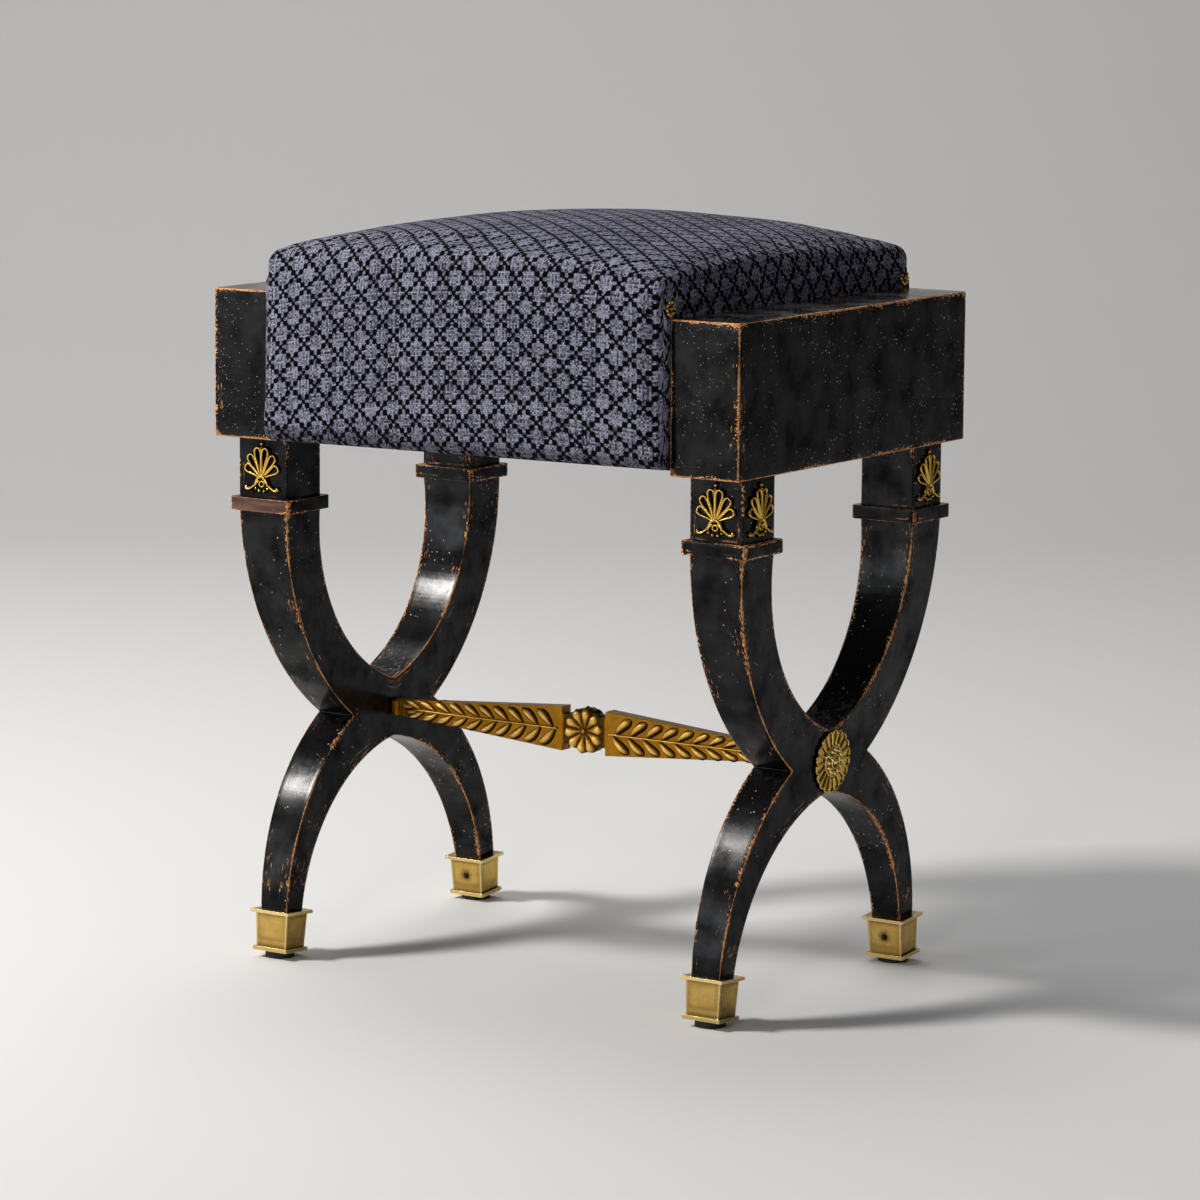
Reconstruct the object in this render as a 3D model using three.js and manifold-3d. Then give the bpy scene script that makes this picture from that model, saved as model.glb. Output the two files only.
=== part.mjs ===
// X frame stool: two crossed and half-lapped side frames under thick end rails, with an
// upholstered seat between the rails, a carved stretcher, and brass mounts and shoes.
// Millimetres, +Z up. X runs along the stretcher, the front faces -Y, and the origin is on
// the floor under the middle of the seat.

import * as THREE from 'three';
import Module from 'manifold-3d';
import { mergeVertices } from 'three/addons/utils/BufferGeometryUtils.js';

const wasm = await Module();
wasm.setup();

// The whole stool and its end rails
const overallLength = 408; // over the outer faces of the two end rails
const endRailDepth = 280; // front to back
const endRailTop = 450; // above the floor
const endRailHeight = 98;
const endRailThickness = 50.5;
const jointGap = 0.3; // left between pieces that touch
const cutOverrun = 4; // how far a cutter runs past the face that it cuts

// Heads of the X members, under the end rails
const headWidth = 39.6; // along X
const headDepth = 36.8; // along Y
const headHeight = 41.4; // that shows between the end rail and the collar
const headEndInset = 6.7; // from the end rail's outer face
const headFrontInset = 17.3; // from the end rail's front face
const headTenonWidth = 20;
const headTenonDepth = 18;
const headTenonHeight = 38;

// Collars round the heads
const collarHeight = 9;
const collarProjection = 4.75;
const collarCornerRadius = 3;

// Curves of the X members, in the plane of each side frame
const crossingHeight = 155.4; // of the two notches above the floor
const notchReach = 46.8; // from the middle of the crossing to each notch
const crossingRise = 19.6; // from the notches up to the foot of the upper V
const crossingDrop = 20.4; // from the notches down to the top of the lower arch
const armOuterBow = 20.7; // how far each edge's arc stands off its chord
const armInnerBow = 27;
const legOuterBow = 17.4;
const legInnerBow = 23.8;

// Feet of the X members, where they enter the shoes
const footWidth = 21.7; // along X
const footDepth = 17.8; // along Y
const footEndInset = 21.9; // from the end rail's outer face to the foot's outer face
const footFrontInset = 1.8; // of the foot's outer face from the head's, along Y
const footShoulder = 0.4; // step from the leg in to the spigot inside the shoe
const footTiltDegrees = 4.3; // each foot leans out at the bottom

// Brass shoes and their pins
const shoeTop = 32.2; // above the floor, at the middle of the foot
const shoeHeight = 27.7;
const shoeTopFlangeThickness = 2.2;
const shoeTopFlangeProjection = 4.9; // beyond the foot
const shoeBottomFlangeThickness = 2.6;
const shoeBottomFlangeProjection = 3.1;
const shoeBodyTopProjection = 2.3;
const shoeBodyBottomProjection = 1.2;
const shoeWall = 1.6; // at the bottom of the pocket
const shoePocketDepth = 20;
const shoePinRadius = 1.8;
const shoePinProud = 0.9;
const shoePinLength = 9;
const shoePinDrop = 13.5; // below the shoe's top

// Glides
const glideRadius = 9.9;
const glideNailRadius = 1.6;
const glideNailLength = 5.2; // up into the shoe's floor

// Stretcher
const stretcherMiddleHeight = 30;
const stretcherMiddleDepth = 16;
const stretcherEndHeight = 10;
const stretcherEndDepth = 10;
const stretcherBlockLength = 32;
const stretcherGroove = 1.6; // width and depth of the groove at each end of the block
const stretcherBossLength = 7;
const stretcherBossSize = 13.6;
const stretcherTenonSize = 9;
const stretcherTenonLength = 12;
const flowerRadius = 14.2;
const flowerLobeDepth = 1.3;
const flowerProud = 1.4;
const flowerLobes = 10;

// Screw through each crossing into the stretcher, under the rosette
const screwRadius = 2.2;
const screwHeadRadius = 4.4;
const screwHeadHeight = 2.6;
const screwLength = 62;

// Rosette over each crossing
const rosetteRadius = 21.5;
const rosetteLobeDepth = 1.7;
const rosetteLobes = 18;
const rosetteThickness = 1.8;
const rosetteRingRadius = 9.8;
const rosetteRingWidth = 2.6;
const rosetteRingProud = 1.6;
const rosetteButtonRadius = 4.2;
const rosetteButtonProud = 2.6;
const rosettePinHoleRadius = 0.9;
const rosettePinHoleReach = 12.5;

// Palmette mounts on the heads
const palmetteHeight = 37.6;
const palmetteThickness = 1.8;
const palmetteWire = 1.6;

// Daisy nails in the seat's ends
const nailHeadRadius = 6.1;
const nailLobeDepth = 0.9;
const nailLobes = 8;
const nailHeadThickness = 1.5;
const nailButtonRadius = 2.4;
const nailButtonProud = 1.2;
const nailShankRadius = 0.9;
const nailShankLength = 14;
const nailInset = 11; // from the seat's front and back faces

// Seat frame
const seatOverhang = 11; // of the seat's front face beyond the end rails' front faces
const seatRailRise = 9; // of the seat rails' tops above the end rails
const seatRailThickness = 22;
const seatRailTenonLength = 24;
const seatRailTenonThickness = 8;
const seatRailTenonHeight = 60;
const seatRailTenonDrop = 14; // of the tenon's top below the end rails' tops
const battenThickness = 18;
const battenHeight = 62;
const blockLeg = 40;
const blockHeight = 34;
const blockDrop = 12; // of the block's top below the batten's top

// Webbing, cloths and stuffing
const strapWidth = 50;
const strapThickness = 1.2;
const lengthwiseStraps = 3;
const crosswiseStraps = 4;
const baseClothThickness = 0.8;
const dustCoverThickness = 0.8;
const dustCoverInset = 8; // from the seat frame's outer faces
const padEdgeThickness = 3; // of the stuffing under the rounded edge at the corners
const coverThickness = 1.6;

// Crown of the seat
const seatFrontRise = 11; // of the middle of the front edge above the corners
const seatEndRise = 6; // of the middle of the end edges above the corners
const seatCentreRise = 4; // of the centre above what the edges give it
const seatEdgeRound = 8;
const seatFrontDrawIn = 1.8; // front and back faces lean in towards the top
const crownPower = 2.3;
const crownSteps = 8;
const edgeRowShares = [0, 0.08, 0.3, 0.62]; // rows across the rounded edge

// Steps of curves
const arcSteps = 14;
const stepsPerLobe = 4;
const pinSides = 12;
const discSides = 24;

// Places that several pieces share
const halfLength = overallLength / 2;
const halfDepth = endRailDepth / 2;
const endRailBottom = endRailTop - endRailHeight;
const endRailInnerX = halfLength - endRailThickness;
const headOuterX = halfLength - headEndInset;
const headInnerX = headOuterX - headWidth;
const headMiddleX = (headOuterX + headInnerX) / 2;
const headOuterY = halfDepth - headFrontInset;
const headInnerY = headOuterY - headDepth;
const headMiddleY = (headOuterY + headInnerY) / 2;
const collarTop = endRailBottom - headHeight;
const collarBottom = collarTop - collarHeight;
const footOuterX = halfLength - footEndInset;
const footInnerX = footOuterX - footWidth;
const footSpread = headOuterY - footFrontInset - footDepth / 2; // to the foot's middle
const footTilt = THREE.MathUtils.degToRad(footTiltDegrees);
const shoeBottomDepth = jointGap + shoeHeight; // below the foot's shoulder
const seatHalfLength = endRailInnerX - jointGap;
const seatHalfDepth = halfDepth + seatOverhang;
const seatBottom = endRailBottom + jointGap;
const seatRailTop = endRailTop + seatRailRise;
const seatRailBottom = seatBottom + dustCoverThickness + 2 * jointGap;
const frameInset = coverThickness + jointGap; // of the seat frame inside the cover
const seatRailInnerY = seatHalfDepth - frameInset - seatFrontDrawIn - seatRailThickness;
const battenInnerX = seatHalfLength - battenThickness;
const strapLevel = seatRailTop + jointGap;
const crossStrapLevel = strapLevel + strapThickness + jointGap;
const baseClothLevel = crossStrapLevel + strapThickness + jointGap;
const padLevel = baseClothLevel + baseClothThickness + jointGap;
const seatCornerHeight = padLevel + padEdgeThickness + frameInset + seatEdgeRound;

// The outer and inner faces of a side frame both lean in a straight line from collar to foot
const leaningX = (top, foot) => (height) =>
  foot + ((top - foot) * (height - shoeTop)) / (collarBottom - shoeTop);
const outerFaceX = leaningX(headOuterX, footOuterX);
const innerFaceX = leaningX(headInnerX, footInnerX);
const outerFaceLean = Math.atan2(headOuterX - footOuterX, collarBottom - shoeTop);
const crossingOuterX = outerFaceX(crossingHeight);
const crossingInnerX = innerFaceX(crossingHeight);
const lapX = (crossingOuterX + crossingInnerX) / 2;

// Materials
const finish = (color, roughness, metalness) =>
  new THREE.MeshStandardMaterial({ color, roughness, metalness });
const ebonisedWood = finish(0x17140f, 0.42, 0);
const plainWood = finish(0xb08a5a, 0.7, 0);
const shoeBrass = finish(0xb08b45, 0.35, 1);
const mountBrass = finish(0xb5893a, 0.35, 1);
const gilding = finish(0xb5852c, 0.45, 1);
const blackRubber = finish(0x141414, 0.8, 0);
const steel = finish(0x8a8a8a, 0.4, 1);
const trellisCloth = finish(0x4b5166, 0.9, 0);
const webbing = finish(0xa08a62, 0.9, 0);
const hessian = finish(0x9c8358, 0.95, 0);
const stuffing = finish(0xd8cfb8, 0.95, 0);
const blackCloth = finish(0x18181a, 0.95, 0);

const stool = new THREE.Group();

function addMesh(name, geometry, material, parent = stool) {
  const mesh = new THREE.Mesh(geometry, material);
  mesh.name = name;
  parent.add(mesh);
  return mesh;
}

// Solids: closed meshes that can be joined and cut
function solidOf(geometry) {
  const bare = geometry.clone();
  bare.deleteAttribute('normal');
  bare.deleteAttribute('uv');
  const merged = mergeVertices(bare);
  return new wasm.Manifold(
    new wasm.Mesh({
      numProp: 3,
      vertProperties: new Float32Array(merged.attributes.position.array),
      triVerts: new Uint32Array(merged.index.array),
    }),
  );
}

function geometryOf(solid) {
  const mesh = solid.getMesh();
  const geometry = new THREE.BufferGeometry();
  geometry.setAttribute('position', new THREE.BufferAttribute(mesh.vertProperties, 3));
  geometry.setIndex(new THREE.BufferAttribute(mesh.triVerts, 1));
  geometry.computeVertexNormals();
  return geometry;
}

const joined = (parts) => parts.reduce((whole, part) => whole.add(part));
const cut = (whole, cutters) => cutters.reduce((left, cutter) => left.subtract(cutter), whole);

// A box given by its lowest and highest corners
function boxBetween(low, high) {
  const size = high.map((value, axis) => value - low[axis]);
  const middle = high.map((value, axis) => (value + low[axis]) / 2);
  return new THREE.BoxGeometry(...size).translate(...middle);
}

// A round bar, or a cone, that stands on z = 0
function bar(radius, height, sides, topRadius = radius) {
  const geometry = new THREE.CylinderGeometry(topRadius, radius, height, sides);
  return geometry.rotateX(Math.PI / 2).translate(0, 0, height / 2);
}

// A round bar that starts at x and runs inward, against X
function barInward(radius, length, sides, x, y, z) {
  return bar(radius, length, sides).rotateY(-Math.PI / 2).translate(x, y, z);
}

// An outline in X and Y, pushed up from z = 0
function plate(points, thickness, holes = []) {
  const shape = new THREE.Shape(points);
  holes.forEach((hole) => shape.holes.push(new THREE.Path(hole)));
  return new THREE.ExtrudeGeometry(shape, { depth: thickness, bevelEnabled: false });
}

// A block that hangs below z = 0 and tapers from its top size to its bottom size
function taperedBlock(topX, topY, bottomX, bottomY, height) {
  const geometry = new THREE.BoxGeometry(topX, topY, height).translate(0, 0, -height / 2);
  const position = geometry.attributes.position;
  for (let i = 0; i < position.count; i += 1) {
    if (position.getZ(i) < -height / 2) {
      position.setX(i, (position.getX(i) * bottomX) / topX);
      position.setY(i, (position.getY(i) * bottomY) / topY);
    }
  }
  return geometry;
}

function circle(radius, sides = discSides) {
  return Array.from({ length: sides }, (_, i) => {
    const angle = (i / sides) * 2 * Math.PI;
    return new THREE.Vector2(radius * Math.cos(angle), radius * Math.sin(angle));
  });
}

// An outline with rounded lobes, as a daisy's
function lobedOutline(radius, lobes, lobeDepth) {
  return circle(1, lobes * stepsPerLobe).map((point) => {
    const swell = Math.abs(Math.sin((point.angle() * lobes) / 2));
    return point.multiplyScalar(radius - lobeDepth * (1 - swell));
  });
}

// Points on an arc between two points, which stands off the chord to the left by a bow
function arcPoints(from, to, bow) {
  const chord = to.clone().sub(from);
  const radius = (chord.lengthSq() / 4 + bow ** 2) / (2 * Math.abs(bow));
  const left = new THREE.Vector2(-chord.y, chord.x).normalize();
  const middle = from.clone().add(to).multiplyScalar(0.5);
  const centre = middle.clone().addScaledVector(left, bow - Math.sign(bow) * radius);
  const start = from.clone().sub(centre).angle();
  let sweep = to.clone().sub(centre).angle() - start;
  if (sweep > Math.PI) sweep -= 2 * Math.PI;
  if (sweep < -Math.PI) sweep += 2 * Math.PI;
  return Array.from({ length: arcSteps + 1 }, (_, i) => {
    const angle = start + (sweep * i) / arcSteps;
    return new THREE.Vector2(Math.cos(angle), Math.sin(angle)).multiplyScalar(radius).add(centre);
  });
}

const sharpestMitre = 0.5; // cosine of half the sharpest turn that keeps its point

// A closed outline, anticlockwise, moved outward by a distance
function grownOutline(points, distance) {
  return points.map((point, i) => {
    const before = points[(i + points.length - 1) % points.length];
    const after = points[(i + 1) % points.length];
    const into = point.clone().sub(before).normalize();
    const out = after.clone().sub(point).normalize();
    const normal = new THREE.Vector2(into.y + out.y, -into.x - out.x).normalize();
    const spread = Math.max(normal.dot(new THREE.Vector2(out.y, -out.x)), sharpestMitre);
    return point.clone().addScaledVector(normal, distance / spread);
  });
}

// X members. The outline, in Y and Z, is of the one whose head is at the front and foot at
// the back, from under its collar to the top of its shoe.
function memberOutline() {
  const foot = new THREE.Vector2(footSpread, shoeTop);
  const footHalf = new THREE.Vector2(Math.cos(footTilt), Math.sin(footTilt));
  footHalf.multiplyScalar(footDepth / 2);
  const headOuter = new THREE.Vector2(-headOuterY, collarBottom);
  const headInner = new THREE.Vector2(-headInnerY, collarBottom);
  const frontNotch = new THREE.Vector2(-notchReach, crossingHeight);
  const backNotch = new THREE.Vector2(notchReach, crossingHeight);
  const upperV = new THREE.Vector2(0, crossingHeight + crossingRise);
  const archTop = new THREE.Vector2(0, crossingHeight - crossingDrop);
  return [
    ...arcPoints(headOuter, frontNotch, -armOuterBow),
    ...arcPoints(archTop, foot.clone().sub(footHalf), legInnerBow),
    ...arcPoints(foot.clone().add(footHalf), backNotch, -legOuterBow),
    ...arcPoints(upperV, headInner, armInnerBow),
  ];
}

const mirrored = (points) => points.map(({ x, y }) => new THREE.Vector2(-x, y)).reverse();

// An outline in Y and Z, as thick along X as two faces that lean with the height
function leaningPrism(outline, innerAt, outerAt) {
  const geometry = plate(outline, 1);
  const position = geometry.attributes.position;
  for (let i = 0; i < position.count; i += 1) {
    const [y, z, share] = [position.getX(i), position.getY(i), position.getZ(i)];
    position.setXYZ(i, THREE.MathUtils.lerp(innerAt(z), outerAt(z), share), y, z);
  }
  return geometry;
}

// Head and its tenon, at the front (end -1) or the back (end 1)
function headSolid(end) {
  const low = end < 0 ? -headOuterY : headInnerY;
  return joined([
    solidOf(boxBetween([headInnerX, low, collarBottom],
      [headOuterX, low + headDepth, endRailBottom - jointGap])),
    solidOf(headTenon(end, 0)),
  ]);
}

function headTenon(end, ease) {
  const [halfX, halfY] = [headTenonWidth / 2 + ease, headTenonDepth / 2 + ease];
  return boxBetween(
    [headMiddleX - halfX, end * headMiddleY - halfY, endRailBottom - cutOverrun],
    [headMiddleX + halfX, end * headMiddleY + halfY, endRailBottom + headTenonHeight + ease],
  );
}

// A frame at the middle of a foot, level with its shoulder, that leans out with the foot
function footFrame(end) {
  const frame = new THREE.Group();
  frame.position.set((footOuterX + footInnerX) / 2, end * footSpread, shoeTop);
  frame.rotation.x = end * footTilt;
  frame.updateMatrix();
  return frame;
}

// Spigot inside the shoe, with a share of room round it when it is used as the pocket
function spigot(ease, overrun) {
  const topStep = 2 * (ease - footShoulder);
  const bottomStep = 2 * (shoeBodyBottomProjection - shoeWall - jointGap + ease);
  const block = taperedBlock(footWidth + topStep, footDepth + topStep,
    footWidth + bottomStep, footDepth + bottomStep, shoePocketDepth + ease);
  const neck = boxBetween([-(footWidth + topStep) / 2, -(footDepth + topStep) / 2, -ease],
    [(footWidth + topStep) / 2, (footDepth + topStep) / 2, overrun]);
  return joined([solidOf(block), solidOf(neck)]);
}

// Pin's way into the shoe's inward face, in the frame of a foot
function shoePin(end, ease) {
  const share = (shoePinDrop - shoeTopFlangeThickness) / (shoeHeight - shoeTopFlangeThickness);
  const projection = THREE.MathUtils.lerp(shoeBodyTopProjection, shoeBodyBottomProjection, share);
  const face = footDepth / 2 + projection;
  return bar(shoePinRadius + ease, shoePinLength + ease, pinSides)
    .rotateX(end * -Math.PI / 2)
    .translate(0, -end * (face + shoePinProud), -jointGap - shoePinDrop);
}

const placed = (solid, frame) => solid.transform(frame.matrix.toArray());

// Screw through the crossing, from outside inward. As a cutter it has room round it, and
// runs out past the face.
function screw(ease = 0, overrun = 0) {
  const outer = crossingOuterX - jointGap + overrun;
  const inward = (radius, length, sides) =>
    solidOf(barInward(radius + ease, length + ease + overrun, sides, outer, 0, crossingHeight));
  return joined([
    inward(screwRadius, screwLength, pinSides),
    inward(screwHeadRadius, screwHeadHeight, discSides),
  ]);
}

function stretcherTenon(ease) {
  const half = stretcherTenonSize / 2 + ease;
  return boxBetween([0, -half, crossingHeight - half],
    [crossingInnerX + stretcherTenonLength + ease, half, crossingHeight + half]);
}

// Each member gives up half its thickness where the other one crosses it
function memberSolid(headEnd) {
  const outline = headEnd < 0 ? memberOutline() : mirrored(memberOutline());
  const other = grownOutline(mirrored(outline), jointGap);
  const lap = headEnd < 0
    ? leaningPrism(other, () => crossingInnerX - cutOverrun, () => lapX + jointGap / 2)
    : leaningPrism(other, () => lapX - jointGap / 2, () => crossingOuterX + cutOverrun);
  const foot = footFrame(-headEnd);
  const whole = joined([
    solidOf(leaningPrism(outline, innerFaceX, outerFaceX)),
    headSolid(headEnd),
    placed(spigot(0, cutOverrun / 2), foot),
  ]);
  return cut(whole, [
    solidOf(lap),
    screw(jointGap, cutOverrun),
    solidOf(stretcherTenon(jointGap)),
    placed(solidOf(shoePin(-headEnd, jointGap)), foot),
  ]);
}

// Collar: a square ring with rounded corners round a head
function collarGeometry() {
  const [halfX, halfY] = [headWidth / 2 + collarProjection, headDepth / 2 + collarProjection];
  const corners = [[1, 1], [-1, 1], [-1, -1], [1, -1]];
  const outline = corners.flatMap(([sx, sy], corner) =>
    Array.from({ length: 4 }, (_, i) => {
      const angle = (corner + i / 3) * (Math.PI / 2);
      return new THREE.Vector2(
        sx * (halfX - collarCornerRadius) + collarCornerRadius * Math.cos(angle),
        sy * (halfY - collarCornerRadius) + collarCornerRadius * Math.sin(angle),
      );
    }));
  const hole = corners.map(([sx, sy]) =>
    new THREE.Vector2(sx * (headWidth / 2 + jointGap), sy * (headDepth / 2 + jointGap)));
  return plate(outline, collarHeight, [hole]);
}

// Shoe: a tapered cast box with a thin flange at each end, open at the top for the spigot
function shoeGeometry(end) {
  const slab = (projection, thickness, top) =>
    new THREE.BoxGeometry(footWidth + 2 * projection, footDepth + 2 * projection, thickness)
      .translate(0, 0, top - thickness / 2);
  const body = taperedBlock(
    footWidth + 2 * shoeBodyTopProjection, footDepth + 2 * shoeBodyTopProjection,
    footWidth + 2 * shoeBodyBottomProjection, footDepth + 2 * shoeBodyBottomProjection,
    shoeHeight,
  ).translate(0, 0, -jointGap);
  const casting = joined([
    solidOf(body),
    solidOf(slab(shoeTopFlangeProjection, shoeTopFlangeThickness, -jointGap)),
    solidOf(slab(shoeBottomFlangeProjection, shoeBottomFlangeThickness,
      shoeBottomFlangeThickness - shoeBottomDepth)),
  ]);
  return geometryOf(cut(casting, [
    spigot(jointGap, cutOverrun),
    solidOf(shoePin(end, jointGap)),
    solidOf(bar(glideNailRadius + jointGap, glideNailLength + cutOverrun + jointGap, pinSides)
      .translate(0, 0, -shoeBottomDepth - cutOverrun)),
  ]));
}

// Glide: a level disc under the leaning shoe, with a nail up into the shoe's floor
function glideGeometry(end) {
  const foot = footFrame(end);
  const seat = -shoeBottomDepth - jointGap; // just under the shoe, in the foot's frame
  const middle = new THREE.Vector3(0, 0, seat).applyMatrix4(foot.matrix);
  const disc = bar(glideRadius, middle.z + glideRadius, discSides).translate(middle.x, middle.y, 0);
  const above = boxBetween([-footWidth, -footWidth, seat], [footWidth, footWidth, 0]);
  const nail = bar(glideNailRadius, jointGap + glideNailLength + middle.z / 2, pinSides)
    .translate(0, 0, seat - middle.z / 2);
  return geometryOf(
    cut(solidOf(disc), [placed(solidOf(above), foot)]).add(placed(solidOf(nail), foot)));
}

// Palmette: loops of cast wire that fan out over two crossed scrolls. Its places are shares
// of its height, in the plane of the face that it lies on.
const palmetteFanShare = 0.33; // height of the point that the loops fan from
const palmetteLeanDegrees = [16, 38, 66]; // of each loop from upright
const palmetteLoopShares = [[0.59, 0.09], [0.49, 0.085], [0.41, 0.078]]; // length, half width
const palmetteHoleShare = 0.3; // of a loop's length, where its hole starts
const palmetteScrollShares = [[-0.08, 0.28], [0.04, 0.235], [0.13, 0.155], [0.226, 0.08], [0.32, 0.045]];
const palmetteBallShares = [0.356, 0.085, 0.056]; // across, up, radius
const palmetteCurlShares = [0.069, 0.118, 0.069];
const palmetteStemShares = [0.6, 0.045]; // length, half width
const palmetteBeadShares = [0.94, 0.055]; // height, radius
const palmetteArchShares = [0.105, 0.1, 0.375]; // half width, foot and tip of the arch below

const palmetteLoopSides = 8;
const palmetteBallSides = 6;
const palmetteScrollSteps = 5;
const loopTaper = 0.45; // power that draws a loop in to a point at the fan

function loopPlate(length, halfWidth) {
  const outline = (start, reach, half) =>
    circle(1, palmetteLoopSides).map((point) => {
      const swell = (1 - point.x) / 2;
      return new THREE.Vector2(half * point.y * swell ** loopTaper, start + reach * swell);
    });
  const holeStart = palmetteHoleShare * length;
  const hole = outline(holeStart, length - holeStart - palmetteWire, halfWidth - palmetteWire);
  return plate(outline(0, length, halfWidth).reverse(), palmetteThickness, [hole]);
}

function ribbonPlate(points, width) {
  const curve = new THREE.SplineCurve(points);
  const sides = [1, -1].map((side) =>
    Array.from({ length: palmetteScrollSteps + 1 }, (_, i) => {
      const tangent = curve.getTangent(i / palmetteScrollSteps);
      const normal = new THREE.Vector2(-tangent.y, tangent.x);
      return curve.getPoint(i / palmetteScrollSteps).addScaledVector(normal, (side * width) / 2);
    }));
  return plate([...sides[1], ...sides[0].reverse()], palmetteThickness);
}

function palmetteGeometry() {
  const tall = (share) => share * palmetteHeight;
  const fan = tall(palmetteFanShare);
  const parts = [];
  const addBall = (radius, x, y) => {
    parts.push(plate(circle(radius, palmetteBallSides), palmetteThickness).translate(x, y, 0));
  };
  const [ballX, ballY, ballRadius] = palmetteBallShares.map(tall);
  const [curlX, curlY, curlRadius] = palmetteCurlShares.map(tall);
  for (const side of [-1, 1]) {
    palmetteLoopShares.forEach((shares, i) => {
      parts.push(loopPlate(...shares.map(tall))
        .rotateZ(-side * THREE.MathUtils.degToRad(palmetteLeanDegrees[i]))
        .translate(0, fan, 0));
    });
    const scroll = palmetteScrollShares.map(([x, y]) => new THREE.Vector2(side * tall(x), tall(y)));
    parts.push(ribbonPlate(scroll, palmetteWire));
    addBall(ballRadius, side * ballX, ballY);
    addBall(curlRadius, side * curlX, curlY);
  }
  const [stemLength, stemHalf] = palmetteStemShares.map(tall);
  const [beadHeight, beadRadius] = palmetteBeadShares.map(tall);
  parts.push(plate(circle(1, palmetteLoopSides).map(({ x, y }) =>
    new THREE.Vector2(x * stemHalf, fan + (stemLength * (1 + y)) / 2)), palmetteThickness));
  addBall(beadRadius, 0, beadHeight);
  const [archHalf, archFoot, archTip] = palmetteArchShares.map(tall);
  const arch = [[-archHalf, archFoot], [archHalf, archFoot], [0, archTip]];
  const corners = arch.map(([x, y]) => new THREE.Vector2(x, y));
  parts.push(plate(corners, palmetteThickness, [grownOutline(corners, -palmetteWire)]));
  return geometryOf(joined(parts.map(solidOf)));
}

// Rosette: a flat lobed disc with a raised ring and a button
function rosetteGeometry() {
  const pinHoles = [-1, 1].map((side) => circle(rosettePinHoleRadius, pinSides)
    .map((point) => point.add(new THREE.Vector2(side * rosettePinHoleReach, 0))));
  const disc = plate(lobedOutline(rosetteRadius, rosetteLobes, rosetteLobeDepth),
    rosetteThickness, pinHoles);
  const ring = plate(circle(rosetteRingRadius), rosetteThickness + rosetteRingProud,
    [circle(rosetteRingRadius - rosetteRingWidth)]);
  const button = bar(rosetteButtonRadius, rosetteThickness + rosetteButtonProud, discSides / 2,
    rosetteButtonRadius / 2);
  return geometryOf(joined([disc, ring, button].map(solidOf)));
}

// Daisy nail: a lobed head with a button, and a shank below z = 0
function nailGeometry() {
  const head = plate(lobedOutline(nailHeadRadius, nailLobes, nailLobeDepth), nailHeadThickness);
  const button = bar(nailButtonRadius, nailHeadThickness + nailButtonProud, nailLobes,
    nailButtonRadius / 2);
  const shank = bar(nailShankRadius, nailShankLength + nailHeadThickness, nailLobes)
    .translate(0, 0, -nailShankLength);
  return geometryOf(joined([head, button, shank].map(solidOf)));
}

// The seat's front and back faces lean in from the bottom up to the rounded edge
function wallHalfDepth(height) {
  const shoulder = seatCornerHeight - seatEdgeRound;
  const share = THREE.MathUtils.clamp((height - seatBottom) / (shoulder - seatBottom), 0, 1);
  return seatHalfDepth - seatFrontDrawIn * share;
}

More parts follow.
